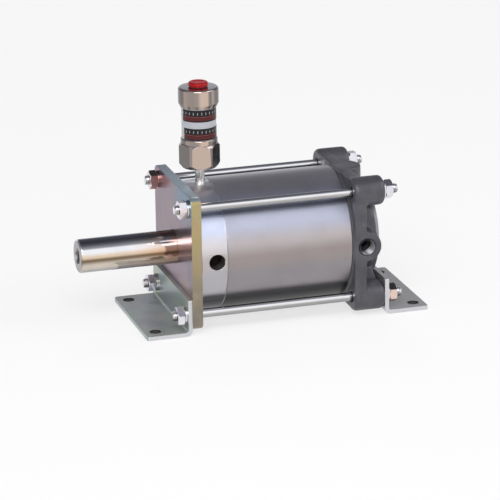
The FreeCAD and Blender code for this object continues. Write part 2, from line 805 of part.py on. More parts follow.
def make_filler_plug():
    """A push-in plug: a round head on a slightly smaller neck, and a stem cored out from below."""
    base = cap_top + plug_gasket_thickness
    lip = base + plug_neck_height
    tip = cap_top - plug_stem_depth
    return turned_upright([
        (0, tip + plug_core_depth), (plug_core_radius, tip + plug_core_depth),
        (plug_core_radius, tip), (plug_stem_radius - plug_stem_chamfer, tip),
        (plug_stem_radius, tip + plug_stem_chamfer), (plug_stem_radius, base),
        (plug_neck_radius, base), (plug_neck_radius, lip),
        (plug_flange_radius, lip + plug_lip_height),
        (plug_flange_radius, base + plug_flange_height, plug_edge_round),
        (0, base + plug_flange_height)], cup_x)


def make_plug_gasket():
    top = cap_top + plug_gasket_thickness
    body = upright(plug_neck_radius - plug_gasket_inset, cap_top, top, cup_x)
    return body.cut(upright(plug_stem_radius + seal_clearance, cap_top, top, cup_x))


label_lower = cup_base_top + label_base_gap
label_upper = label_lower + label_height + label_gap

parts = {
    "front_plate": make_front_plate(),
    "hydraulic_tube": make_hydraulic_tube(),
    "front_cover": make_front_cover(),
    "barrel": make_barrel(),
    "rear_cover": make_rear_cover(),
    "upper_tie_rods": Part.makeCompound([make_tie_rod(y, z) for y, z in ROD_SIGNS if z > 0]),
    "lower_tie_rods": Part.makeCompound([make_tie_rod(y, z) for y, z in ROD_SIGNS if z < 0]),
    "front_tie_rod_nuts": make_nuts(front_nut_start, front_nut_turns),
    "rear_tie_rod_nuts": make_nuts(rear_nut_start, rear_nut_turns),
    "front_spring_washers": make_spring_washers(lambda z_sign: front_nut_start(z_sign) + nut_height),
    "rear_spring_washers": make_spring_washers(lambda z_sign: rear_nut_start(z_sign) - washer_thickness),
    "front_foot": make_foot(0, -1),
    "rear_foot": make_foot(boss_rear, 1),
    "oil_cup_nipple": make_nipple(),
    "oil_cup_base": make_cup_base(),
    "oil_cup_sight_tube": make_sight_tube(),
    "oil_cup_lower_gasket": make_sight_gasket(cup_base_top - cup_seat_depth),
    "oil_cup_upper_gasket": make_sight_gasket(sight_top),
    "oil_cup_cap": make_cup_cap(),
    "level_label_lower": make_level_label(label_lower, label_lower_angle),
    "level_label_upper": make_level_label(label_upper, label_upper_angle),
    "filler_plug": make_filler_plug(),
    "filler_plug_gasket": make_plug_gasket(),
    "front_barrel_seal": barrel_seal(barrel_front, front_spigot_length),
    "rear_barrel_seal": barrel_seal(barrel_rear, -rear_spigot_length),
    "front_bumper": make_bumper(front_spigot_end - bumper_seat_depth, front_spigot_end + bumper_proud),
    "rear_bumper": make_bumper(rear_spigot_end - bumper_proud, rear_spigot_end + bumper_seat_depth),
    "tube_collar_seal": make_tube_seal(),
    "high_pressure_seal": make_high_pressure_seal(),
    "high_pressure_backup_ring": make_backup_ring(),
    "gland_bush": make_gland_bush(),
    "ram_gland_seal": make_rod_seal(),
    "gland_retaining_ring": make_retaining_ring(),
    "ram": make_ram(),
    "air_piston": make_air_piston(),
    "piston_seal_front": make_piston_seal(0),
    "piston_seal_rear": make_piston_seal(2),
    "piston_wear_ring": make_wear_ring(),
    "ram_static_seal": make_ram_oring(),
    "ram_washer": make_ram_washer(),
    "ram_nut": make_ram_nut(),
}

front_end = tube_front
rear_end = boss_rear + foot_length
to_origin = point(-(front_end + rear_end) / 2, 0, foot_axis_height)
for name, shape in parts.items():
    shape.translate(to_origin)
    shape.exportStep("parts/" + name + ".step")
    print(name, "solids", len(shape.Solids), "valid", shape.isValid(), "volume", round(shape.Volume))
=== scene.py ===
import math

import bpy
from mathutils import Matrix, Vector


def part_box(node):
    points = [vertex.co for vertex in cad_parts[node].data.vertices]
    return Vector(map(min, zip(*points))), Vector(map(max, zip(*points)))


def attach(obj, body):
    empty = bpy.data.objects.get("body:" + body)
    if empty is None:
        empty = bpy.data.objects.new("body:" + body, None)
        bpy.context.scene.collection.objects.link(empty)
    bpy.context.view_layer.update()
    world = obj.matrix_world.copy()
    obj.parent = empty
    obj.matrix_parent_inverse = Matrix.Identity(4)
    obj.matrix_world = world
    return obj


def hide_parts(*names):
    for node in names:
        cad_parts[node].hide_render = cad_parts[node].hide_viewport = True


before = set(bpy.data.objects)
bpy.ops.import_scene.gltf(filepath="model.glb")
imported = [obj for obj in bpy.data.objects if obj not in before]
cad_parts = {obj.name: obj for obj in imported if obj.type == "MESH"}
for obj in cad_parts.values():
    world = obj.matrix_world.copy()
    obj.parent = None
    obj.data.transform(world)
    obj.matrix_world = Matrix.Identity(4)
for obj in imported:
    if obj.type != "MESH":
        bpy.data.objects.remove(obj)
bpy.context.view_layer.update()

bl_info = {
    "name": "Air-hydraulic booster",
    "version": (1, 0, 0),
    "blender": (4, 5, 0),
    "location": "View3D > Sidebar > Booster",
    "description": "Dresses the booster's frame with finished pieces, materials, a studio and a camera",
    "category": "Object",
}

MM = 0.001


def node_middle(node_name):
    low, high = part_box(node_name)
    return (low + high) / 2


AXIS_HEIGHT = node_middle("barrel").z
CUP_X = node_middle("oil_cup_sight_tube").x


# Settings

def length(name, description, millimetres):
    return bpy.props.FloatProperty(name=name, description=description, default=millimetres * MM,
                                   subtype="DISTANCE", unit="LENGTH")


def turn(name, description, degrees):
    return bpy.props.FloatProperty(name=name, description=description, default=math.radians(degrees),
                                   subtype="ANGLE", unit="ROTATION")


def power(name, description, watts):
    return bpy.props.FloatProperty(name=name, description=description, default=watts, unit="POWER")


def shade(name, description, channels):
    return bpy.props.FloatVectorProperty(name=name, description=description, default=channels,
                                         subtype="COLOR", size=3, min=0.0, max=1.0)


class BoosterSizes(bpy.types.PropertyGroup):
    """Sizes of the details that the pieces add to the frame."""
    turning_steps: bpy.props.IntProperty(
        name="Turning steps", description="Flats round a large turned piece", default=160, min=24)
    small_turning_steps: bpy.props.IntProperty(
        name="Small turning steps", description="Flats round a small turned piece", default=72, min=16)
    casting_softness: bpy.props.IntProperty(
        name="Casting softness", description="Smoothing passes over the casting's edges", default=9, min=0)
    casting_grain: length("Casting voxel", "Size of the cells that soften the casting", 1.15)
    edge_break: length("Edge break", "Width of the break on the oil cup's edges", 0.35)
    plate_break: length("Plate edge break", "Width of the break on the front plate's edges", 0.63)
    foot_break: length("Foot edge break", "Width of the break on the feet's cut edges", 0.56)
    fastener_break: length("Fastener edge break", "Width of the break on nuts and washers", 0.22)
    rod_thread_pitch: length("Rod thread pitch", "Pitch of the tie rods' thread", 1.5)
    rod_thread_radius: length("Rod thread radius", "Outer radius of the tie rods' thread", 5.0)
    rod_thread_length: length("Rod thread length", "Length of the thread at a rod's end", 24.0)
    rod_shank_radius: length("Rod shank radius", "Radius of the tie rods between their threads", 4.5)
    rod_thread_depth: length("Rod thread depth", "Height of the ridge on the tie rods", 0.6)
    port_thread_pitch: length("Port thread pitch", "Pitch of the thread in the ports and the outlet", 1.337)
    thread_depth: length("Port thread depth", "Height of the ridge in the ports and the outlet", 0.75)
    thread_seat: length("Thread seat", "Depth of a port thread's root inside the wall", 0.1)
    thread_runout: length("Thread runout", "Bare length behind a port's thread", 1.0)
    port_radius: length("Port radius", "Radius of the ports and the outlet", 8.0)
    port_chamfer: length("Port chamfer", "Chamfer at a port's mouth", 0.9)
    port_depth: length("Port depth", "Depth of an air port's thread", 17.0)
    front_port_x: length("Front port place", "Place of the front air port along the cylinder", -48.05)
    rear_port_x: length("Rear port place", "Place of the rear air port along the cylinder", 108.25)
    tube_radius: length("Tube radius", "Outer radius of the hydraulic tube", 17.15)
    tube_chamfer: length("Tube chamfer", "Chamfer at the tube's free end", 1.4)
    tube_block: length("Tube end block", "Solid length at the tube's free end", 38.8)
    chamber_radius: length("Chamber radius", "Radius of the tube's oil chamber", 13.0)
    outlet_depth: length("Outlet depth", "Depth of the outlet's thread", 16.0)
    outlet_passage: length("Outlet passage", "Radius of the passage behind the outlet", 4.5)
    barrel_wall: length("Barrel wall", "Thickness of the barrel's wall", 4.0)
    barrel_chamfer: length("Barrel chamfer", "Chamfer at the barrel's ends", 0.6)
    hub_radius: length("Hub radius", "Radius of the rear hub's machined rim", 48.0)
    hub_rim_width: length("Hub rim width", "Width of the machined rim", 6.5)
    hub_rim_height: length("Hub rim height", "Height of the machined rim", 5.5)
    sight_wall: length("Sight tube wall", "Thickness of the sight tube's wall", 3.0)
    cap_bottom_radius: length("Cap foot radius", "Radius of the cup's cap at its lower edge", 18.5)
    cap_taper_height: length("Cap taper height", "Height over which the cap widens", 4.2)
    cap_edge_round: length("Cap edge round", "Rounding of the cap's upper edge", 2.2)
    cap_seat_depth: length("Cap seat depth", "Depth of the tube's seat in the cap", 6.0)
    cap_roof: length("Cap roof", "Thickness of the cap's roof", 5.0)
    plug_bore: length("Plug bore", "Radius of the cap's hole for the plug", 6.5)
    plug_neck: length("Plug neck", "Radius of the plug below its head", 9.2)
    plug_neck_height: length("Plug neck height", "Height of the plug's neck", 0.4)
    plug_lip: length("Plug lip", "Height over which the plug's head widens", 0.3)
    plug_round: length("Plug head round", "Rounding of the plug's head", 2.0)
    plug_core: length("Plug core", "Radius of the hollow in the plug's stem", 4.2)
    plug_core_depth: length("Plug core depth", "Depth of the hollow in the plug's stem", 12.0)
    foot_hole_radius: length("Foot hole radius", "Radius of the feet's bolt holes", 5.5)
    foot_hole_span: length("Foot hole span", "Between the front and the rear bolt holes", 272.4)
    foot_hole_gap: length("Foot hole gap", "Between the two bolt holes of a foot", 104.0)


class BoosterColours(bpy.types.PropertyGroup):
    """Colours of the finishes."""
    plate: shade("Plate", "Tinted zinc of the front plate", (0.285, 0.232, 0.272))
    cover: shade("Front cover", "Turned front cover", (0.74, 0.76, 0.82))
    barrel: shade("Barrel", "Satin barrel", (0.50, 0.49, 0.52))
    casting: shade("Casting", "Painted rear cover", (0.085, 0.083, 0.095))
    plug: shade("Plug", "Filler plug", (0.38, 0.004, 0.008))
    nickel: shade("Nickel", "Plated oil cup", (0.62, 0.48, 0.40))


class BoosterStudio(bpy.types.PropertyGroup):
    """Place of the camera and strength of the lamps."""
    azimuth: turn("Azimuth", "Camera's turn about the vertical", -16.82)
    elevation: turn("Elevation", "Camera's height above the horizon", 17.97)
    roll: turn("Roll", "Camera's turn about its own line of sight", -0.79)
    distance: length("Distance", "From the camera to the point that it looks at", 3025.5)
    lens: bpy.props.FloatProperty(
        name="Lens", description="Focal length in millimetres", default=214.44)
    target: bpy.props.FloatVectorProperty(
        name="Target", description="Point that the camera looks at", subtype="TRANSLATION",
        unit="LENGTH", size=3, default=(5.63 * MM, 0.0, 61.53 * MM))
    floor: shade("Floor", "Pale floor", (0.96, 0.955, 0.95))
    floor_white: bpy.props.FloatProperty(
        name="Floor white", description="Share of the floor that shows plain white",
        default=0.7, min=0.0, max=1.0)
    surround: bpy.props.FloatProperty(
        name="Surround", description="Strength of the light all round", default=0.95, min=0.0)
    key_power: power("Key power", "Power of the large front lamp", 30.0)
    fill_power: power("Fill power", "Power of the side lamp", 8.0)
    rear_power: power("Rear power", "Power of the lamp behind", 12.0)


# Modelling helpers

# Distances within which points count as one, in metres
SAME_POINT = 1e-7
INNER_WELD = 1e-6
NODE_WELD = 2e-6
# A change of scale that counts as none
SAME_SCALE = 1e-9
# Angles between faces, in degrees
FLAT_ANGLE = 0.6
SMOOTH_ANGLE = 32
EDGE_ANGLE = 38
ROD_ANGLE = 40
THREAD_ANGLE = 50
# Turns of a piece that is made about Z, and the places that most such pieces take
LYING = (0, math.pi / 2, 0)
SIDEWAYS = (-math.pi / 2, 0, 0)
UPRIGHT = (0, 0, 0)
ON_AXIS = (LYING, (0, 0, AXIS_HEIGHT))
ON_CUP = (UPRIGHT, (CUP_X, 0, 0))


def sizes():
    return bpy.context.scene.booster_sizes


def nothing_selected():
    if bpy.context.object and bpy.context.object.mode != "OBJECT":
        bpy.ops.object.mode_set(mode="OBJECT")
    bpy.ops.object.select_all(action="DESELECT")


def only(piece):
    """Selects one piece and makes it the active one."""
    nothing_selected()
    piece.select_set(True)
    bpy.context.view_layer.objects.active = piece


def apply_modifier(piece, kind, **settings):
    only(piece)
    modifier = piece.modifiers.new(kind.lower(), kind)
    for name, value in settings.items():
        setattr(modifier, name, value)
    bpy.ops.object.modifier_apply(modifier=modifier.name)


def rounded_corners(corners, steps=4):
    """Replaces each (along, radius, round) corner by points on its arc."""
    points = []
    count = len(corners)
    for index, corner in enumerate(corners):
        here = Vector(corner[:2])
        if len(corner) == 2:
            points.append(here)
            continue
        back = (Vector(corners[index - 1][:2]) - here).normalized()
        ahead = (Vector(corners[(index + 1) % count][:2]) - here).normalized()
        half = back.angle(ahead) / 2
        reach = corner[2] / math.tan(half)
        centre = here + (back + ahead).normalized() * (corner[2] / math.sin(half))
        start = here + back * reach - centre
        end = here + ahead * reach - centre
        arc = start.angle_signed(end)
        for step in range(steps + 1):
            offset = start.copy()
            offset.rotate(Matrix.Rotation(-arc * step / steps, 2))
            points.append(centre + offset)
    return points


def face_outward():
    """Turns all faces of the mesh in edit mode outwards, and leaves edit mode."""
    bpy.ops.mesh.select_all(action="SELECT")
    bpy.ops.mesh.normals_make_consistent(inside=False)
    bpy.ops.object.mode_set(mode="OBJECT")


def turned_piece(name, corners, steps, closed=False):
    """Turns (along, radius) corners about Z by extruding and scaling a circle's edge."""
    points = rounded_corners(corners)
    nothing_selected()
    bpy.ops.mesh.primitive_circle_add(vertices=steps, radius=points[0].y, location=(0, 0, 0))
    piece = bpy.context.object
    piece.name = name
    bpy.ops.object.mode_set(mode="EDIT")
    bpy.ops.mesh.select_all(action="SELECT")
    bpy.ops.transform.translate(value=(0, 0, points[0].x))
    ring = points + [points[0]] if closed else points
    for before, after in zip(ring, ring[1:]):
        bpy.ops.mesh.extrude_edges_move(TRANSFORM_OT_translate={"value": (0, 0, after.x - before.x)})
        scale = after.y / before.y
        if abs(scale - 1) > SAME_SCALE:
            bpy.ops.transform.resize(value=(scale, scale, 1), center_override=(0, 0, after.x))
    bpy.ops.mesh.select_all(action="SELECT")
    if closed:
        bpy.ops.mesh.remove_doubles(threshold=SAME_POINT)
    else:
        bpy.ops.mesh.fill_holes(sides=0)
    face_outward()
    return piece


def thread_ridge(name, start, end, root_radius, crest_radius, pitch, steps=40):
    """A helical ridge about Z. The root lies a little inside the wall that carries it."""
    turns = max(1, int((end - start) / pitch) - 1)
    width = pitch * 0.98
    nothing_selected()
    bpy.ops.mesh.primitive_circle_add(vertices=3, radius=1.0)
    piece = bpy.context.object
    piece.name = name
    sides = ((start, root_radius), (start + pitch / 2, crest_radius), (start + width, root_radius))
    for vertex, (along, radius) in zip(piece.data.vertices, sides):
        vertex.co = (radius, 0, along)
    apply_modifier(piece, "SCREW", axis="Z", screw_offset=pitch, iterations=turns, steps=steps,
                   render_steps=steps, use_merge_vertices=True, merge_threshold=SAME_POINT)
    bpy.ops.object.mode_set(mode="EDIT")
    bpy.ops.mesh.select_all(action="SELECT")
    bpy.ops.mesh.fill_holes(sides=4)
    face_outward()
    return piece


def placed(piece, direction, place):
    """Turns a piece made about Z, moves it to its place, and leaves its object at the origin."""
    piece.rotation_euler = direction
    piece.location = place
    only(piece)
    bpy.ops.object.transform_apply(location=True, rotation=True, scale=True)
    return piece


def smooth_shaded(piece, angle):
    only(piece)
    bpy.ops.object.shade_smooth_by_angle(angle=math.radians(angle))
    apply_modifier(piece, "WEIGHTED_NORMAL", keep_sharp=True, weight=90)


def joined(first, *others):
    nothing_selected()
    for piece in (first,) + others:
        piece.select_set(True)
    bpy.context.view_layer.objects.active = first
    bpy.ops.object.join()
    return first


def cut_from(piece, cutter):
    """Takes the cutter's volume out of the piece."""
    apply_modifier(piece, "BOOLEAN", operation="DIFFERENCE", solver="EXACT", object=cutter)
    only(cutter)
    bpy.ops.object.delete()


def frame_copy(node_name, name, edge_width, edge_segments=2):
    """A merged copy of a frame node, with flats made whole and edges broken."""
    only(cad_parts[node_name])
    bpy.ops.object.duplicate()
    piece = bpy.context.object
    piece.name = name
    piece.parent = None
    for key in [key for key in piece.keys() if key.startswith("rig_")]:
        del piece[key]
    bpy.ops.object.mode_set(mode="EDIT")
    bpy.ops.mesh.select_all(action="SELECT")
    bpy.ops.mesh.remove_doubles(threshold=NODE_WELD)
    bpy.ops.mesh.dissolve_limited(angle_limit=math.radians(FLAT_ANGLE))
    bpy.ops.object.mode_set(mode="OBJECT")
    if edge_width:
        apply_modifier(piece, "BEVEL", width=edge_width, segments=edge_segments,
                       limit_method="ANGLE", angle_limit=math.radians(EDGE_ANGLE), harden_normals=False)
    return piece


def finished(piece, slot, finish, *replaced, body="housing", smooth_to=SMOOTH_ANGLE):
    """Shades a piece smooth up to an angle in degrees, and gives it its finish and its body."""
    if smooth_to:
        smooth_shaded(piece, smooth_to)
    piece.data.name = piece.name
    piece.data.materials.clear()
    piece.data.materials.append(FINISHES[finish])
    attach(piece, body)
    if replaced:
        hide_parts(*replaced)
    return piece


def edged(node_name, name, slot, finish, edge_width, edge_segments=2):
    """A finished copy of a frame node that takes the node's place. A width of 0 leaves its edges sharp."""
    return finished(frame_copy(node_name, name, edge_width, edge_segments), slot, finish, node_name)


def lathed(name, corners, where, slot, finish, *replaced, closed=True, **settings):
    """A finished piece that is turned from (along, radius) corners and stands in its place."""
    piece = turned_piece(name, corners, sizes().turning_steps, closed)
    return finished(placed(piece, *where), slot, finish, *replaced, **settings)


# Material helpers

def feed(value, target):
    """Links a socket, or sets a plain value. A colour of three channels is made opaque."""
    if isinstance(value, bpy.types.NodeSocket):
        target.id_data.links.new(value, target)
    elif target.type == "RGBA" and len(value) == 3:
        target.default_value = (*value, 1.0)
    else:
        target.default_value = value


def feed_all(inputs, **values):
    """Feeds inputs by name. Underscores stand for the spaces of a name."""
    for name, value in values.items():
        feed(value, inputs[name.replace("_", " ")])


def node(tree, kind, *values, **settings):
    """A node with its settings, and with its first inputs fed in order."""
    made = tree.nodes.new("ShaderNode" + kind)
    for name, value in settings.items():
        setattr(made, name, value)
    for value, target in zip(values, made.inputs):
        feed(value, target)
    return made


def tree_of(*values):
    """The node tree that the first socket among the values belongs to."""
    return next(value.id_data for value in values if isinstance(value, bpy.types.NodeSocket))


def math_node(operation, *values):
    return node(tree_of(*values), "Math", *values, operation=operation).outputs[0]


def product(first, *others):
    for other in others:
        first = math_node("MULTIPLY", first, other)
    return first


def between(value, low, high):
    """1 where the value lies between low and high, and 0 elsewhere."""
    above = math_node("GREATER_THAN", value, low)
    return product(above, math_node("LESS_THAN", value, high))


def spread(value, low, high, to_low=0.0, to_high=1.0):
    """Maps low to high onto to_low to to_high, smoothly and held at both ends."""
    made = node(tree_of(value), "MapRange", value, low, high, to_low, to_high, clamp=True,
                interpolation_type="SMOOTHSTEP")
    return made.outputs["Result"]


def mixed(factor, first, second, blend="MIX"):
    made = node(tree_of(factor, first, second), "Mix", data_type="RGBA", blend_type=blend)
    feed_all(made.inputs, Factor=factor, A=first, B=second)
    return made.outputs["Result"]


def absolute(value):
    return math_node("ABSOLUTE", value)


def coordinates(tree, kind="Object"):
    return node(tree, "TexCoord").outputs[kind]


def axes(tree, kind):
    """X, Y and Z: Object gives the place in metres, and Normal the way that the surface faces."""
    return node(tree, "SeparateXYZ", coordinates(tree, kind)).outputs


def noise(place, scale, detail, distortion=0.0):
    made = node(tree_of(place), "TexNoise", place)
    feed_all(made.inputs, Scale=scale, Detail=detail, Distortion=distortion)
    return made.outputs[0]


def relief(height, strength, distance):
    made = node(tree_of(height), "Bump")
    feed_all(made.inputs, Height=height, Strength=strength, Distance=distance)
    return made.outputs[0]


def ramp(value, stops, interpolation="LINEAR"):
    """Colours along a value. A stop is a position and a colour."""
    made = node(tree_of(value), "ValToRGB", value)
    made.color_ramp.interpolation = interpolation
    elements = made.color_ramp.elements
    while len(elements) < len(stops):
        elements.new(0.5)
    for element, (position, tone) in zip(elements, stops):
        element.position = position
        element.color = (*tone, 1.0)
    return made.outputs[0]


# Shared groups

OUTPUT_KINDS = {"Color": "NodeSocketColor", "Roughness": "NodeSocketFloat", "Normal": "NodeSocketVector"}
INPUT_KINDS = {3: "NodeSocketVector", 4: "NodeSocketColor"}


def group_tree(name, outputs, **inputs):
    """A node group with its sockets. Underscores stand for the spaces of an input's name."""
    tree = bpy.data.node_groups.new(name, "ShaderNodeTree")
    for socket_name, default in inputs.items():
        kind = "NodeSocketFloat" if isinstance(default, float) else INPUT_KINDS[len(default)]
        made = tree.interface.new_socket(
            name=socket_name.replace("_", " "), in_out="INPUT", socket_type=kind)
        made.default_value = default
    for socket_name in outputs:
        tree.interface.new_socket(
            name=socket_name, in_out="OUTPUT", socket_type=OUTPUT_KINDS[socket_name])
    return tree, tree.nodes.new("NodeGroupInput").outputs, tree.nodes.new("NodeGroupOutput").inputs


def smudged(smudge, given):
    """The given roughness, a little higher or lower with the smudges."""
    change = product(math_node("SUBTRACT", smudge, 0.5), given["Gloss Change"])
    return math_node("ADD", given["Roughness"], change)


def turning_marks():
    """Fine rings left by a lathe or a grinder, with a slow change of gloss."""
    tree, given, result = group_tree(
        "turning_marks", ("Roughness", "Normal"), Ring_Scale=1600.0, Ring_Depth=0.08,
        Stretch=(1.0, 0.02, 0.02), Roughness=0.3, Gloss_Change=0.06)
    place = coordinates(tree)
    along = node(tree, "VectorMath", place, given["Stretch"], operation="MULTIPLY")
    rings = noise(along.outputs[0], given["Ring Scale"], 3.0)
    feed_all(result, Roughness=smudged(noise(place, 28.0, 4.0), given),
             Normal=relief(rings, given["Ring Depth"], 0.02 * MM))
    return tree


def plating_tint():
    """Drifting colour of a zinc plate: two tints over the base colour in soft patches."""
    tree, given, result = group_tree(
        "plating_tint", ("Color",), Base=(0.6, 0.6, 0.6, 1.0), First_Tint=(0.5, 0.6, 0.7, 1.0),
        Second_Tint=(0.7, 0.6, 0.5, 1.0), Patch_Scale=12.0, Amount=0.6)
    place = coordinates(tree)
    tone = given["Base"]
    for offset, tint in ((0.0, "First Tint"), (5.3, "Second Tint")):
        moved = node(tree, "VectorMath", place, (offset, offset, offset), operation="ADD")
        patches = noise(moved.outputs[0], given["Patch Scale"], 2.5, distortion=0.6)
        patch = product(spread(patches, 0.42, 0.66), given["Amount"])
        tone = mixed(patch, tone, given[tint])
    feed(tone, result["Color"])
    return tree


def surface_grain():
    """Small random relief, as on cast paint, rubber or moulded plastic."""
    tree, given, result = group_tree(
        "surface_grain", ("Color", "Roughness", "Normal"), Base=(0.5, 0.5, 0.5, 1.0), Hollows=0.2,
        Scale=900.0, Depth=0.3, Roughness=0.45, Gloss_Change=0.12)
    place = coordinates(tree)
    smudge = noise(place, 45.0, 3.0)
    hollow = product(spread(smudge, 0.3, 0.7), given["Hollows"])
    grain = noise(place, given["Scale"], 5.0)
    feed_all(result, Color=mixed(hollow, given["Base"], (0.0, 0.0, 0.0)),
             Roughness=smudged(smudge, given),
             Normal=relief(grain, given["Depth"], 0.12 * MM))
    return tree


# Painted shade, highlight and reflection on round pieces, by the way each face turns: from the underside to
# the top, and on their end faces
SHADE_BANDS = ("Deep", "Under", "Level", "Front", "Upper", "Top", "Ends")
# Where each band up to the top gives way to the next, as the upward share of the surface's direction
BAND_LIMITS = ((-0.68, -0.48), (-0.28, 0.04), (0.02, 0.26), (0.24, 0.48), (0.80, 0.97))
# Colour multipliers for each band, in the order of the band names above: painted shade, painted reflection
# and painted highlight in place of how light falls on each band
SATIN_SHADE = (
    (0.045, 0.047, 0.05), (0.64, 0.61, 0.60), (0.72, 0.63, 0.58), (1.0, 0.94, 0.90), (0.86, 0.91, 1.03),
    (1.3, 1.27, 1.24), (1.0, 1.0, 1.0))
CHROME_SHADE = (
    (0.43, 0.41, 0.40), (0.68, 0.60, 0.51), (0.21, 0.145, 0.085), (0.90, 0.72, 0.55), (1.0, 1.0, 1.0),
    (0.34, 0.34, 0.38), (0.25, 0.25, 0.26))
ROD_SHADE = (
    (0.30, 0.30, 0.31), (0.40, 0.40, 0.40), (0.48, 0.46, 0.45), (0.85, 0.84, 0.84), (1.0, 1.0, 1.0),
    (0.8, 0.8, 0.8), (0.80, 0.80, 0.82))


def facing_shade():
    """Painted light on a round piece by the way its faces turn: painted shade below, a painted warm
    reflection at the sides, above the painted highlight (satin pieces, rods) and painted dark reflection
    (chrome) that the tables give, and painted shade on the end faces where a table darkens them.
    """
    unshaded = dict.fromkeys(("Base",) + SHADE_BANDS, (1.0, 1.0, 1.0, 1.0))
    tree, given, result = group_tree("facing_shade", ("Color",), **unshaded, Shift=0.0)
    facing = axes(tree, "Normal")
    height = math_node("ADD", facing["Z"], given["Shift"])
    tone = given["Deep"]
    for limits, band in zip(BAND_LIMITS, SHADE_BANDS[1:]):
        tone = mixed(spread(height, *limits), tone, given[band])
    endward = spread(absolute(facing["X"]), 0.6, 0.9)
    tone = mixed(endward, tone, given["Ends"])
    feed(mixed(1.0, given["Base"], tone, "MULTIPLY"), result["Color"])
    return tree


GROUPS = {}


def add_group(tree, maker, **values):
    """The outputs of a shared group, which is built once."""
    if maker.__name__ not in GROUPS:
        GROUPS[maker.__name__] = maker()
    made = node(tree, "Group", node_tree=GROUPS[maker.__name__])
    feed_all(made.inputs, **values)
    return made.outputs


# Finishes

ALONG_X = (1.0, 0.02, 0.02)
ALONG_Z = (0.02, 0.02, 1.0)


def new_material(name, tone, metallic, roughness, **more):
    """A material, its tree and its surface's inputs, of which more may be set by name."""
    material = bpy.data.materials.new(name)
    material.use_nodes = True
    tree = material.node_tree
    surface = tree.nodes["Principled BSDF"].inputs
    feed_all(surface, Base_Color=tone, Metallic=metallic, Roughness=roughness, **more)
    return material, tree, surface


def textured(surface, tone, texture):
    """Gives a surface its colour, and the roughness and relief of a shared group."""
    feed_all(surface, Base_Color=tone, Roughness=texture["Roughness"], Normal=texture["Normal"])


def marked(tree, surface, tone, scale, depth, stretch, roughness, change):
    """Gives a surface its colour and its machining marks."""
    textured(surface, tone, add_group(
        tree, turning_marks, Ring_Scale=scale, Ring_Depth=depth, Stretch=stretch,
        Roughness=roughness, Gloss_Change=change))


def tinted(tree, base, first, second, patch_scale, amount):
    """A plating's colour: its base and two tints in patches."""
    return add_group(tree, plating_tint, Base=base, First_Tint=first, Second_Tint=second,
                     Patch_Scale=patch_scale, Amount=amount)["Color"]


def turned_metal(name, tone, roughness, ring_depth=0.08, stretch=ALONG_X, painted_bands=None, band_shift=0.0,
                 shine_below=1.0, plate_reflection_to=None):
    """Machined metal with a thin film of oil. Given painted bands, it carries painted shade, highlight and
    reflection by the way each face turns, and its underside may shine less; given a place on X, the end next
    to that place carries a painted warm reflection.
    """
    material, tree, surface = new_material(name, tone, 1.0, roughness)
    dull = tuple(channel * 0.90 for channel in tone)
    film = tinted(tree, tone, dull, tone, 35.0, 0.5)
    # Painted shade, highlight and reflection by the way each face turns
    if painted_bands:
        film = add_group(tree, facing_shade, Base=film, Shift=band_shift,
                         **dict(zip(SHADE_BANDS, painted_bands)))["Color"]
        shine = spread(axes(tree, "Normal")["Z"], -0.6, -0.2, shine_below, 1.0)
        feed(shine, surface["Metallic"])
    # Painted warm reflection of the front plate, on the end of the tube next to it
    if plate_reflection_to is not None:
        fade = (plate_reflection_to - 55 * MM, plate_reflection_to - 4 * MM)
        warm = spread(axes(tree, "Object")["X"], *fade)
        film = mixed(warm, film, (1.0, 0.80, 0.68), "MULTIPLY")
    marked(tree, surface, film, 1600.0, ring_depth, stretch, roughness, roughness * 0.35)
    return material


def fastener_finish():
    """Bright zinc. Two of the nuts carry a coppery film on their flats, and a painted dark reflection on
    their tops.
    """
    base, dark_top_reflection, reach = (0.80, 0.78, 0.82), (0.25, 0.21, 0.20), 40 * MM
    material, tree, surface = new_material("fastener_zinc", base, 1.0, 0.2)
    place, facing = axes(tree, "Object"), axes(tree, "Normal")
    tone = tinted(tree, base, (0.68, 0.70, 0.80), (0.80, 0.66, 0.58), 90.0, 0.6)
    upward = spread(facing["Z"], 0.5, 0.85)
    flats = spread(absolute(facing["X"]), 0.85, 0.5)
    for sides, copper in (((-1, 1, 1), (0.62, 0.35, 0.30)), ((1, -1, -1), (0.78, 0.60, 0.53))):
        here = flats
        for axis, middle, side in zip("XYZ", (0.0, 0.0, AXIS_HEIGHT), sides):
            here = product(spread(place[axis], middle, middle + side * reach), here)
        # On these two nuts: the coppery film, and a painted dark reflection on their upward faces
        tone = mixed(here, tone, mixed(upward, copper, dark_top_reflection))
    marked(tree, surface, tone, 700.0, 0.05, (1.0, 1.0, 1.0), 0.2, 0.1)
    return material


def grained(name, tone, roughness, scale=900.0, depth=0.3, specular=0.5):
    material, tree, surface = new_material(name, tone, 0.0, roughness, Specular_IOR_Level=specular)
    grain = add_group(tree, surface_grain, Base=tone, Scale=scale, Depth=depth, Roughness=roughness)
    textured(surface, grain["Color"], grain)
    return material


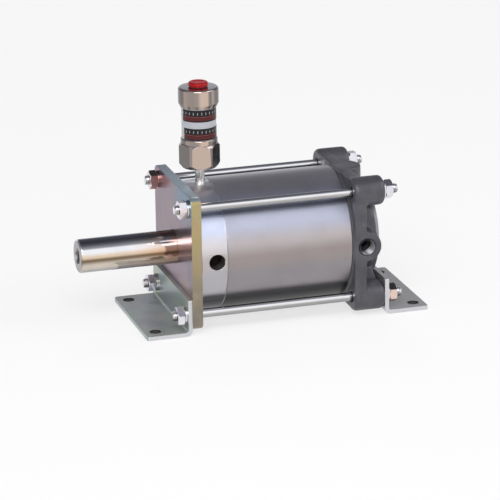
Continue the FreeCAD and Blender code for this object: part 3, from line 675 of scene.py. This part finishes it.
def plate_finish(base):
    """Passivated zinc, mauve with tints in patches on the face. By the way each face turns it carries painted
    reflection: gold on the side edges, shading to brown below as painted shade, and slate on the top edge,
    lighter on the near side. The near half of the face carries a painted teal reflection up high and a
    painted warm reflection low down.
    """
    teal, rose = (0.14, 0.27, 0.345), (0.43, 0.34, 0.30)
    brown, gold = (0.21, 0.19, 0.165), (0.47, 0.37, 0.165)
    near_slate, far_slate = (0.47, 0.60, 0.66), (0.31, 0.38, 0.42)
    material, tree, surface = new_material(
        "plate_zinc", base, 0.8, 0.24, Specular_Tint=(0.80, 0.75, 0.80))
    place, facing = axes(tree, "Object"), axes(tree, "Normal")
    low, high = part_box("front_plate")
    face = tinted(tree, base, (0.17, 0.195, 0.235), (0.32, 0.26, 0.23), 17.0, 0.55)
    near_half = spread(place["Y"], 10 * MM, -35 * MM)
    upper = spread(place["Z"], high.z - 38 * MM, high.z - 14 * MM)
    # Painted teal reflection, high on the near half of the face
    face = mixed(product(upper, near_half, 0.85), face, teal)
    lower = spread(place["Z"], low.z + 64 * MM, low.z + 18 * MM)
    # Painted warm reflection, low on the near half of the face
    face = mixed(product(lower, near_half), face, rose)
    # Side edges: painted reflection, gold above and shading to brown below as painted shade
    side = mixed(spread(place["Z"], low.z, high.z), brown, gold)
    side = tinted(tree, side, (0.34, 0.32, 0.21), (0.42, 0.31, 0.18), 40.0, 0.4)
    # Top edge: painted slate reflection, lighter on the near side
    slate = mixed(spread(place["Y"], 0.0, high.y), near_slate, far_slate)
    sideways = spread(absolute(facing["Y"]), 0.45, 0.8)
    upward = spread(facing["Z"], 0.5, 0.85)
    tone = mixed(upward, mixed(sideways, face, side), slate)
    marked(tree, surface, tone, 500.0, 0.06, (1.0, 1.0, 0.05), 0.24, 0.12)
    return material


def foot_finish():
    """Zinc, greener on the front foot, with light cut edges, the legs darkened as painted shade, and painted
    shade in the bolt holes.
    """
    given = sizes()
    base, cut_edge, hole_shade = (0.62, 0.61, 0.59), (0.60, 0.60, 0.62), (0.06, 0.058, 0.055)
    rear_grey, leg_green = (0.52, 0.495, 0.50), (0.30, 0.39, 0.37)
    material, tree, surface = new_material("foot_zinc", base, 0.72, 0.34)
    place, facing = axes(tree, "Object"), axes(tree, "Normal")
    face = tinted(tree, base, (0.43, 0.46, 0.51), (0.52, 0.58, 0.51), 22.0, 0.65)
    # The legs: a green zinc tint, darkened as painted shade
    leg = tinted(tree, leg_green, (0.36, 0.37, 0.38), (0.40, 0.43, 0.32), 26.0, 0.7)
    tone = mixed(spread(absolute(facing["X"]), 0.5, 0.85), face, leg)
    tone = mixed(spread(place["X"], 0.0, 50 * MM, 0.0, 0.8), tone, rear_grey)
    tone = mixed(spread(absolute(facing["Y"]), 0.5, 0.85), tone, cut_edge)
    holes_middle = (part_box("front_foot")[0].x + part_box("rear_foot")[1].x) / 2
    from_hole = []
    for axis, middle, spacing in (("X", holes_middle, given.foot_hole_span), ("Y", 0.0, given.foot_hole_gap)):
        out = absolute(math_node("SUBTRACT", place[axis], middle))
        from_hole.append(math_node("POWER", math_node("SUBTRACT", out, spacing / 2), 2.0))
    reach = math_node("SQRT", math_node("ADD", *from_hole))
    edge = given.foot_hole_radius
    # Painted shade inside and just round the bolt holes
    rim = spread(reach, edge + 0.9 * MM, edge + 0.2 * MM)
    marked(tree, surface, mixed(rim, tone, hole_shade), 260.0, 0.10, (1.0, 0.08, 1.0), 0.3, 0.2)
    return material


def casting_finish(base):
    """Dark paint over a sand casting, rubbed a little lighter here and there."""
    rubbed_grey = (0.20, 0.20, 0.22)
    material, tree, surface = new_material("cast_paint", base, 0.25, 0.42)
    grain = add_group(tree, surface_grain, Base=base, Hollows=0.35, Scale=520.0, Depth=0.5,
                      Roughness=0.42, Gloss_Change=0.2)
    rubbed = spread(noise(coordinates(tree), 60.0, 6.0), 0.52, 0.78, 0.0, 0.35)
    textured(surface, mixed(rubbed, grain["Color"], rubbed_grey), grain)
    return material


def label_finish():
    """Black film with a dull red lower band, a thin pale red line above it, and level ticks."""
    black, dull_red, pale_red, pale = (
        (0.012, 0.011, 0.013), (0.085, 0.014, 0.016), (0.26, 0.05, 0.045), (0.34, 0.32, 0.32))
    ticks_round_tube, tick_width, just_below = 26, 0.16, -0.05
    red_band, red_line, tick_band = (0.12, 0.34), (0.40, 0.45), (0.60, 0.82)
    material, tree, surface = new_material(
        "label_film", (0.02, 0.018, 0.02), 0.0, 0.3, Specular_IOR_Level=0.2)
    place = axes(tree, "Object")
    shares = []
    for label in ("level_label_lower", "level_label_upper"):
        low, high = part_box(label)
        above = math_node("SUBTRACT", place["Z"], low.z)
        shares.append(math_node("DIVIDE", above, high.z - low.z))
    lower, upper = shares
    on_upper = math_node("GREATER_THAN", upper, just_below)
    on_lower = math_node("LESS_THAN", upper, just_below)
    height = math_node("ADD", product(upper, on_upper), product(lower, on_lower))
    angle = math_node("ARCTAN2", place["Y"], math_node("SUBTRACT", place["X"], CUP_X))
    turns = math_node("FRACT", product(angle, ticks_round_tube / math.tau))
    on_tick = math_node("LESS_THAN", turns, tick_width)
    tick = product(on_tick, between(height, *tick_band))
    shown = mixed(between(height, *red_band), black, dull_red)
    shown = mixed(between(height, *red_line), shown, pale_red)
    textured(surface, mixed(tick, shown, pale),
             add_group(tree, surface_grain, Scale=500.0, Depth=0.05, Roughness=0.3))
    return material


def clear_finish():
    """Cast acrylic: clear, a little cloudy, and faintly blue."""
    haze = (0.70, 0.72, 0.76)
    material, tree, surface = new_material(
        "clear_tube", haze, 0.0, 0.12, Transmission_Weight=0.55, IOR=1.49)
    marked(tree, surface, haze, 500.0, 0.02, ALONG_Z, 0.12, 0.08)
    return material


# Painted reflection bands in the nickel, as (degrees round the cup from -Y towards +X, share of the warm
# colour)
NICKEL_REFLECTIONS = (
    (-180, 0.5), (-107, 0.45), (-80, 0.15), (-66, 0.15), (-58, 0.55), (-46, 0.42), (-31, 0.36),
    (-18, 0.42), (-8, 0.95), (11, 0.95), (17, 0.22), (23, 0.25), (28, 0.66), (38, 0.24), (47, 0.08),
    (56, 0.10), (80, 0.45), (110, 0.3), (150, 0.7))


def nickel_finish(base):
    """Bright nickel with painted reflection bands, warm and dark, that alternate round the cup by the way
    each face turns; flat faces get one plain colour.
    """
    dark_reflection, end_face = (0.115, 0.12, 0.13), (0.55, 0.52, 0.53)
    material, tree, surface = new_material("cup_nickel", base, 1.0, 0.17)
    facing = axes(tree, "Normal")
    angle = math_node("ARCTAN2", facing["X"], product(facing["Y"], -1.0))
    round_cup = math_node("ADD", math_node("DIVIDE", angle, math.tau), 0.5)
    stops = [((degrees + 180) / 360, (share, share, share)) for degrees, share in NICKEL_REFLECTIONS]
    reflection_banded = mixed(ramp(round_cup, stops), dark_reflection, base)
    flat = spread(absolute(facing["Z"]), 0.5, 0.85)
    marked(tree, surface, mixed(flat, reflection_banded, end_face), 1600.0, 0.04, ALONG_Z, 0.17, 0.06)
    return material


FINISHES = {}


def make_finishes():
    shades = bpy.context.scene.booster_colours
    bright = (0.93, 0.93, 0.94)
    FINISHES.update({
        "plate": plate_finish(shades.plate),
        # The band tables paint light and shade on the tube, the front cover, the barrel and the rods; the
        # chrome also carries a painted warm reflection of the plate
        "chrome": turned_metal("hard_chrome", bright, 0.09, ring_depth=0.03, painted_bands=CHROME_SHADE,
                               band_shift=0.07, shine_below=0.45, plate_reflection_to=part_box("front_plate")[0].x),
        "cover": turned_metal("turned_cover", shades.cover, 0.30, ring_depth=0.12, painted_bands=SATIN_SHADE),
        "barrel": turned_metal("satin_barrel", shades.barrel, 0.38, ring_depth=0.06, painted_bands=SATIN_SHADE),
        "casting": casting_finish(shades.casting),
        "bare": turned_metal("bare_machined", (0.30, 0.30, 0.32), 0.34, ring_depth=0.15),
        # Near black: painted shade inside the front air port
        "port_shade": grained("port_shade", (0.026, 0.020, 0.018), 0.5, depth=0.2, specular=0.12),
        "bored": turned_metal("bored_casting", (0.20, 0.20, 0.21), 0.42, ring_depth=0.15),
        "rod": turned_metal("bright_rod", bright, 0.13, ring_depth=0.03, painted_bands=ROD_SHADE),
        "zinc": fastener_finish(),
        "nipple": turned_metal("nipple_nickel", (0.60, 0.59, 0.55), 0.24, ring_depth=0.1, stretch=ALONG_Z),
        "foot": foot_finish(),
        "nickel": nickel_finish(shades.nickel),
        "clear": clear_finish(),
        "label": label_finish(),
        "plug": grained("plug_plastic", shades.plug, 0.25, scale=260.0, depth=0.05, specular=0.22),
        "rubber": grained("seal_rubber", (0.025, 0.025, 0.027), 0.6, scale=1200.0),
        "white": grained("ring_plastic", (0.80, 0.79, 0.74), 0.45, scale=800.0, depth=0.1),
        "bronze": turned_metal("bush_bronze", (0.62, 0.42, 0.20), 0.30),
        "alloy": turned_metal("piston_alloy", (0.70, 0.70, 0.72), 0.32, ring_depth=0.12),
    })


# Pieces

INNER_NODES = {
    "rubber": (
        "oil_cup_lower_gasket", "oil_cup_upper_gasket", "filler_plug_gasket", "front_barrel_seal",
        "rear_barrel_seal", "front_bumper", "rear_bumper", "tube_collar_seal", "high_pressure_seal",
        "ram_gland_seal", "piston_seal_front", "piston_seal_rear", "ram_static_seal"),
    "white": ("high_pressure_backup_ring", "piston_wear_ring"),
    "bronze": ("gland_bush",),
    "zinc": ("gland_retaining_ring", "ram_washer", "ram_nut"),
    "chrome": ("ram",),
    "alloy": ("air_piston",),
    "label": ("level_label_lower", "level_label_upper"),
}


class BOOSTER_OT_inner_nodes(bpy.types.Operator):
    """Gives the piston, ram, seals, gaskets and labels their finishes"""
    bl_idname = "booster.inner_nodes"
    bl_label = "Inner pieces and labels"

    def execute(self, context):
        for finish, node_names in INNER_NODES.items():
            for node_name in node_names:
                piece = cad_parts[node_name]
                only(piece)
                bpy.ops.object.shade_smooth()
                piece.data.materials.clear()
                piece.data.materials.append(FINISHES[finish])
                piece.modifiers.new("merged", "WELD").merge_threshold = INNER_WELD
                piece.modifiers.new("crisp_edges", "EDGE_SPLIT").split_angle = math.radians(SMOOTH_ANGLE)
        return {"FINISHED"}


class BOOSTER_OT_front_plate(bpy.types.Operator):
    """Makes the front plate with broken edges and hole mouths"""
    bl_idname = "booster.front_plate"
    bl_label = "Front plate"

    def execute(self, context):
        edged("front_plate", "front_plate_body", "plated_plate", "plate", sizes().plate_break, 3)
        return {"FINISHED"}


class BOOSTER_OT_hydraulic_tube(bpy.types.Operator):
    """Makes the chromed tube with its chamfered end and tapped outlet"""
    bl_idname = "booster.hydraulic_tube"
    bl_label = "Hydraulic tube"

    def execute(self, context):
        given = sizes()
        low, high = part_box("hydraulic_tube")
        plate_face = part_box("front_plate")[1].x
        collar = high.z - AXIS_HEIGHT
        bore, outer, passage = given.port_radius, given.tube_radius, given.outlet_passage
        block, thread_end = low.x + given.tube_block, low.x + given.outlet_depth
        mouth = low.x + given.port_chamfer
        end_round, side_round = 0.3 * MM, 0.6 * MM
        corners = [
            (low.x, bore + given.port_chamfer), (low.x, outer - given.tube_chamfer, end_round),
            (low.x + given.tube_chamfer, outer, side_round), (plate_face, outer), (plate_face, collar),
            (high.x, collar), (high.x, given.chamber_radius), (block, given.chamber_radius),
            (block, passage), (thread_end, passage), (thread_end, bore), (mouth, bore)]
        lathed("hydraulic_tube_body", corners, ON_AXIS, "chromed_tube", "chrome", "hydraulic_tube")
        ridge = thread_ridge("outlet_thread", mouth, thread_end - given.thread_runout,
                             bore + given.thread_seat, bore - given.thread_depth, given.port_thread_pitch)
        finished(placed(ridge, *ON_AXIS), "chromed_tube", "bare", smooth_to=THREAD_ANGLE)
        return {"FINISHED"}


def port_thread(name, x, mouth_y, finish, slot, floor):
    """The tapped bore of an air port that opens towards -Y, with a thin skin over its wall and, where asked,
    its floor. The skin carries the given finish; on the front port that finish is near black, painted shade
    inside the bore.
    """
    given = sizes()
    wall, mouth, depth = given.port_radius, given.port_chamfer, given.port_depth
    ridge = thread_ridge(name, mouth, depth - given.thread_runout, wall + given.thread_seat,
                         wall - given.thread_depth, given.port_thread_pitch)
    skin = wall - 0.12 * MM
    outer_end, inner_end = depth - 0.03 * MM, depth - 0.15 * MM
    corners = [(inner_end, skin), (mouth, skin), (mouth, wall), (outer_end, wall)]
    if floor:
        corners = [(inner_end, skin / 2)] + corners + [(outer_end, skin / 2)]
    sleeve = turned_piece(name + "_wall", corners, given.small_turning_steps, closed=not floor)
    placed(joined(ridge, sleeve), SIDEWAYS, (x, mouth_y, AXIS_HEIGHT))
    finished(ridge, slot, finish, smooth_to=THREAD_ANGLE)


class BOOSTER_OT_front_cover(bpy.types.Operator):
    """Makes the front cover's edges crisp and threads its air port"""
    bl_idname = "booster.front_cover"
    bl_label = "Front cover"

    def execute(self, context):
        edged("front_cover", "front_cover_body", "machined_cover", "cover", 0)
        mouth_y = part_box("front_cover")[0].y
        # The front port's thread and skin carry painted shade
        port_thread("front_port_thread", sizes().front_port_x, mouth_y, "port_shade", "machined_cover", True)
        return {"FINISHED"}


class BOOSTER_OT_barrel(bpy.types.Operator):
    """Turns the satin barrel with its chamfered ends"""
    bl_idname = "booster.barrel"
    bl_label = "Barrel"

    def execute(self, context):
        given = sizes()
        low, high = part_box("barrel")
        outer = high.z - AXIS_HEIGHT
        inner = outer - given.barrel_wall
        chamfer, edge_round = given.barrel_chamfer, 0.3 * MM
        corners = [(low.x, inner), (low.x, outer - chamfer), (low.x + chamfer, outer, edge_round),
                   (high.x - chamfer, outer, edge_round), (high.x, outer - chamfer), (high.x, inner)]
        lathed("barrel_body", corners, ON_AXIS, "satin_barrel", "barrel", "barrel")
        return {"FINISHED"}


class BOOSTER_OT_rear_cover(bpy.types.Operator):
    """Makes the soft-edged rear casting, its machined hub rim and its tapped port"""
    bl_idname = "booster.rear_cover"
    bl_label = "Rear cover"

    def execute(self, context):
        given = sizes()
        low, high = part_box("rear_cover")
        cover = frame_copy("rear_cover", "rear_cover_casting", 0)
        apply_modifier(cover, "REMESH", mode="VOXEL", voxel_size=given.casting_grain, use_smooth_shade=True)
        only(cover)
        soft = cover.vertex_groups.new(name="soft")
        hidden_length = 0.4 * MM
        visible_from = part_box("barrel")[1].x + hidden_length
        visible = [vertex.index for vertex in cover.data.vertices if vertex.co.x > visible_from]
        soft.add(visible, 1.0, "REPLACE")
        apply_modifier(cover, "SMOOTH", factor=0.5, iterations=given.casting_softness, vertex_group="soft")
        self.bore(cover, low.y)
        finished(cover, "cast_cover", "casting", "rear_cover", smooth_to=None)
        self.hub_rim(high.x)
        port_thread("rear_port_thread", given.rear_port_x, low.y, "bored", "cast_cover", False)
        return {"FINISHED"}

    def bore(self, cover, mouth_y):
        """Cuts the port again, so that its mouth is sharp in the soft casting."""
        given = sizes()
        wall, mouth, overrun = given.port_radius, given.port_chamfer, -2 * MM
        corners = [(overrun, wall + mouth), (0.0, wall + mouth), (mouth, wall), (given.port_depth, wall)]
        cutter = turned_piece("port_cutter", corners, given.small_turning_steps)
        placed(cutter, SIDEWAYS, (given.rear_port_x, mouth_y, AXIS_HEIGHT))
        cut_from(cover, cutter)

    def hub_rim(self, rear):
        given = sizes()
        front = rear - given.hub_rim_height
        inner = given.hub_radius - given.hub_rim_width
        proud, outer_round, inner_round = 0.06 * MM, 0.7 * MM, 0.5 * MM
        outer = given.hub_radius + proud
        corners = [(front, inner), (front, outer), (rear, outer, outer_round), (rear, inner, inner_round)]
        lathed("rear_hub_rim", corners, ON_AXIS, "cast_cover", "bare")


class BOOSTER_OT_tie_rods(bpy.types.Operator):
    """Turns the four tie rods and cuts the threads on their ends"""
    bl_idname = "booster.tie_rods"
    bl_label = "Tie rods"

    def execute(self, context):
        for node_name in ("upper_tie_rods", "lower_tie_rods"):
            low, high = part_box(node_name)
            height = (low.z + high.z) / 2
            side = high.y - sizes().rod_thread_radius
            pair = joined(self.rod(node_name + "_pair", low.x, high.x, -side, height),
                          self.rod(node_name + "_far", low.x, high.x, side, height))
            finished(pair, "bright_rod", "rod", node_name, smooth_to=None)
        return {"FINISHED"}

    def rod(self, name, front, rear, y, z):
        given = sizes()
        crest, shank, end = given.rod_thread_radius, given.rod_shank_radius, given.rod_thread_length
        root = crest - given.rod_thread_depth
        chamfer, taper = 0.7 * MM, 0.6 * MM
        front_gap, rear_gap, runout, seat = 0.3 * MM, 0.1 * MM, 0.4 * MM, 0.05 * MM
        corners = [(front, root - chamfer), (front + chamfer, root), (front + end, root),
                   (front + end + taper, shank), (rear - end - taper, shank), (rear - end, root),
                   (rear - chamfer, root), (rear, root - chamfer)]
        rod = turned_piece(name, corners, given.small_turning_steps)
        ridges = [thread_ridge(name + "_thread", start, start + end - runout, root - seat, crest,
                               given.rod_thread_pitch)
                  for start in (front + front_gap, rear - end + rear_gap)]
        placed(joined(rod, *ridges), LYING, (0, y, z))
        smooth_shaded(rod, ROD_ANGLE)
        return rod


class BOOSTER_OT_fasteners(bpy.types.Operator):
    """Breaks the edges of the nuts and the split washers"""
    bl_idname = "booster.fasteners"
    bl_label = "Nuts and washers"

    def execute(self, context):
        for node_name in ("front_tie_rod_nuts", "rear_tie_rod_nuts",
                          "front_spring_washers", "rear_spring_washers"):
            edged(node_name, node_name + "_set", "zinc_fastener", "zinc", sizes().fastener_break)
        return {"FINISHED"}


class BOOSTER_OT_feet(bpy.types.Operator):
    """Makes the two angle feet with rounded cut edges"""
    bl_idname = "booster.feet"
    bl_label = "Feet"

    def execute(self, context):
        for node_name in ("front_foot", "rear_foot"):
            edged(node_name, node_name + "_angle", "zinc_foot", "foot", sizes().foot_break, 3)
        return {"FINISHED"}


class BOOSTER_OT_oil_cup(bpy.types.Operator):
    """Makes the oil cup's nipple, hexagon base, sight tube and cap"""
    bl_idname = "booster.oil_cup"
    bl_label = "Oil cup"

    def execute(self, context):
        edged("oil_cup_base", "oil_cup_hexagon", "nickel_cup", "nickel", sizes().edge_break, 3)
        edged("oil_cup_nipple", "oil_cup_pipe", "nickel_cup", "nipple", sizes().fastener_break)
        self.sight_tube()
        self.cap()
        return {"FINISHED"}

    def sight_tube(self):
        low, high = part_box("oil_cup_sight_tube")
        outer, edge_round = high.y, 0.3 * MM
        inner = outer - sizes().sight_wall
        corners = [(low.z, inner, edge_round), (low.z, outer, edge_round),
                   (high.z, outer, edge_round), (high.z, inner, edge_round)]
        lathed("sight_tube_clear", corners, ON_CUP, "clear_tube", "clear", "oil_cup_sight_tube")

    def cap(self):
        given = sizes()
        low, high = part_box("oil_cup_cap")
        tube_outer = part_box("oil_cup_sight_tube")[1].y
        seat_radius = tube_outer + 0.1 * MM
        sight_inner = tube_outer - given.sight_wall
        seat, roof, bore = low.z + given.cap_seat_depth, high.z - given.cap_roof, given.plug_bore
        foot_round, side_round, bore_round = 0.35 * MM, 2.0 * MM, 0.4 * MM
        corners = [
            (low.z, seat_radius), (low.z, given.cap_bottom_radius, foot_round),
            (low.z + given.cap_taper_height, high.y, side_round), (high.z, high.y, given.cap_edge_round),
            (high.z, bore, bore_round), (roof, bore), (roof, sight_inner), (seat, sight_inner),
            (seat, seat_radius)]
        lathed("oil_cup_top", corners, ON_CUP, "nickel_cup", "nickel", "oil_cup_cap")


class BOOSTER_OT_filler_plug(bpy.types.Operator):
    """Turns the red filler plug with its rounded head, neck and cored stem"""
    bl_idname = "booster.filler_plug"
    bl_label = "Filler plug"

    def execute(self, context):
        given = sizes()
        low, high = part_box("filler_plug")
        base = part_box("filler_plug_gasket")[1].z
        lip = base + given.plug_neck_height
        stem, stem_chamfer = given.plug_bore - 0.1 * MM, 1 * MM
        head, dish_depth = high.y, 0.5 * MM
        dish, dish_floor = head * 0.62, head * 0.58
        neck_round, lip_round, dish_round = 0.2 * MM, 0.25 * MM, 0.5 * MM
        corners = [
            (low.z + given.plug_core_depth, given.plug_core), (low.z, given.plug_core),
            (low.z, stem - stem_chamfer), (low.z + stem_chamfer, stem), (base, stem),
            (base, given.plug_neck, neck_round), (lip, given.plug_neck),
            (lip + given.plug_lip, head, lip_round), (high.z, head, given.plug_round),
            (high.z, dish, dish_round), (high.z - dish_depth, dish_floor)]
        lathed("filler_plug_red", corners, ON_CUP, "red_plug", "plug", "filler_plug",
               closed=False, body="filler_plug")
        return {"FINISHED"}


# Light all round, from the horizon up, as (height, colour): first towards the front, then the back
FRONT_LIGHT = (
    (0.0, (1.0, 0.98, 0.96)), (0.10, (1.0, 1.0, 1.0)), (0.74, (1.0, 1.0, 1.05)),
    (0.86, (0.30, 0.31, 0.35)), (1.0, (0.105, 0.105, 0.12)))
BACK_LIGHT = (
    (0.0, (1.0, 0.98, 0.96)), (0.18, (0.80, 0.82, 0.85)), (0.34, (0.20, 0.21, 0.24)),
    (1.0, (0.105, 0.105, 0.12)))


def aimed(thing, name, orientation):
    thing.name = name
    thing.rotation_mode = "QUATERNION"
    thing.rotation_quaternion = orientation
    return thing


class BOOSTER_OT_stage(bpy.types.Operator):
    """Makes the floor, the light and the camera"""
    bl_idname = "booster.stage"
    bl_label = "Stage, light and camera"

    def execute(self, context):
        studio = context.scene.booster_studio
        self.make_floor(studio)
        self.make_world(studio)
        self.make_camera(studio)
        self.make_lamps(studio)
        context.scene.view_settings.view_transform = "Standard"
        return {"FINISHED"}

    def make_floor(self, studio):
        """A pale floor that shows partly plain white to the camera and in reflections."""
        width, height = 14.0, -0.1 * MM
        nothing_selected()
        bpy.ops.mesh.primitive_plane_add(size=width, location=(0, 0, height))
        floor = bpy.context.object
        floor.name = "floor"
        material, tree, surface = new_material(
            "pale_floor", studio.floor, 0.0, 0.85, Specular_IOR_Level=0.2)
        tone = tinted(tree, studio.floor, (0.93, 0.92, 0.91), studio.floor, 1.5, 0.3)
        feed(tone, surface["Base Color"])
        rays = node(tree, "LightPath").outputs
        mirrored = math_node("MAXIMUM", rays["Is Glossy Ray"], rays["Is Transmission Ray"])
        seen = math_node("MAXIMUM", rays["Is Camera Ray"], mirrored)
        lit, white = tree.nodes["Principled BSDF"].outputs[0], node(tree, "Emission").outputs[0]
        blend = node(tree, "MixShader", product(seen, studio.floor_white), lit, white)
        feed(blend.outputs[0], tree.nodes["Material Output"].inputs["Surface"])
        floor.data.materials.append(material)

    def make_world(self, studio):
        """A white surround at the horizon, a bright front and a dark ceiling."""
        world = bpy.data.worlds.new("studio")
        bpy.context.scene.world = world
        world.use_nodes = True
        tree = world.node_tree
        direction = axes(tree, "Generated")
        front, back = [ramp(direction["Z"], stops, "EASE") for stops in (FRONT_LIGHT, BACK_LIGHT)]
        surround = mixed(spread(direction["Y"], -0.25, 0.35), front, back)
        feed_all(tree.nodes["Background"].inputs, Color=surround, Strength=studio.surround)

    def make_camera(self, studio):
        azimuth, elevation, roll = studio.azimuth, studio.elevation, studio.roll
        back = Vector((math.sin(azimuth) * math.cos(elevation),
                       -math.cos(azimuth) * math.cos(elevation), math.sin(elevation)))
        level = Vector((math.cos(azimuth), math.sin(azimuth), 0.0))
        upward = back.cross(level)
        right = level * math.cos(roll) + upward * math.sin(roll)
        up = upward * math.cos(roll) - level * math.sin(roll)
        nothing_selected()
        bpy.ops.object.camera_add(location=Vector(studio.target) + back * studio.distance)
        camera = aimed(bpy.context.object, "camera",
                       Matrix((right, up, back)).transposed().to_quaternion())
        camera.data.sensor_width = 36.0
        camera.data.lens = studio.lens
        camera.data.clip_end = 50.0
        bpy.context.scene.camera = camera

    def make_lamps(self, studio):
        for name, place, size, energy in (
                ("front_lamp", (-0.7, -1.7, 1.7), 1.4, studio.key_power),
                ("side_lamp", (1.6, -0.9, 1.5), 1.0, studio.fill_power),
                ("rear_lamp", (0.3, 1.9, 2.1), 1.2, studio.rear_power)):
            nothing_selected()
            bpy.ops.object.light_add(type="AREA", location=place)
            towards = Vector((0, 0, AXIS_HEIGHT)) - Vector(place)
            lamp = aimed(bpy.context.object, name, towards.to_track_quat("-Z", "Y"))
            lamp.data.size = size
            lamp.data.energy = energy
            lamp.visible_glossy = name != "rear_lamp"


class BOOSTER_PT_panel(bpy.types.Panel):
    """Lists the booster's sizes, colours and steps"""
    bl_idname = "BOOSTER_PT_panel"
    bl_label = "Booster"
    bl_space_type = "VIEW_3D"
    bl_region_type = "UI"
    bl_category = "Booster"

    def draw(self, context):
        for scene_name, settings in SETTINGS:
            box = self.layout.box()
            for name in settings.__annotations__:
                box.prop(getattr(context.scene, scene_name), name)
        for step in STEPS:
            self.layout.operator(step.bl_idname)


STEPS = (
    BOOSTER_OT_inner_nodes, BOOSTER_OT_front_plate, BOOSTER_OT_hydraulic_tube, BOOSTER_OT_front_cover,
    BOOSTER_OT_barrel, BOOSTER_OT_rear_cover, BOOSTER_OT_tie_rods, BOOSTER_OT_fasteners,
    BOOSTER_OT_feet, BOOSTER_OT_oil_cup, BOOSTER_OT_filler_plug, BOOSTER_OT_stage)
SETTINGS = (("booster_sizes", BoosterSizes), ("booster_colours", BoosterColours),
            ("booster_studio", BoosterStudio))


def register():
    for name, settings in SETTINGS:
        bpy.utils.register_class(settings)
        setattr(bpy.types.Scene, name, bpy.props.PointerProperty(type=settings))
    for step in STEPS + (BOOSTER_PT_panel,):
        bpy.utils.register_class(step)


def unregister():
    for step in (BOOSTER_PT_panel,) + STEPS[::-1]:
        bpy.utils.unregister_class(step)
    for name, settings in SETTINGS[::-1]:
        delattr(bpy.types.Scene, name)
        bpy.utils.unregister_class(settings)


def main():
    register()
    make_finishes()
    for step in STEPS:
        group, operator = step.bl_idname.split(".")
        getattr(getattr(bpy.ops, group), operator)()


if __name__ == "__main__":
    main()
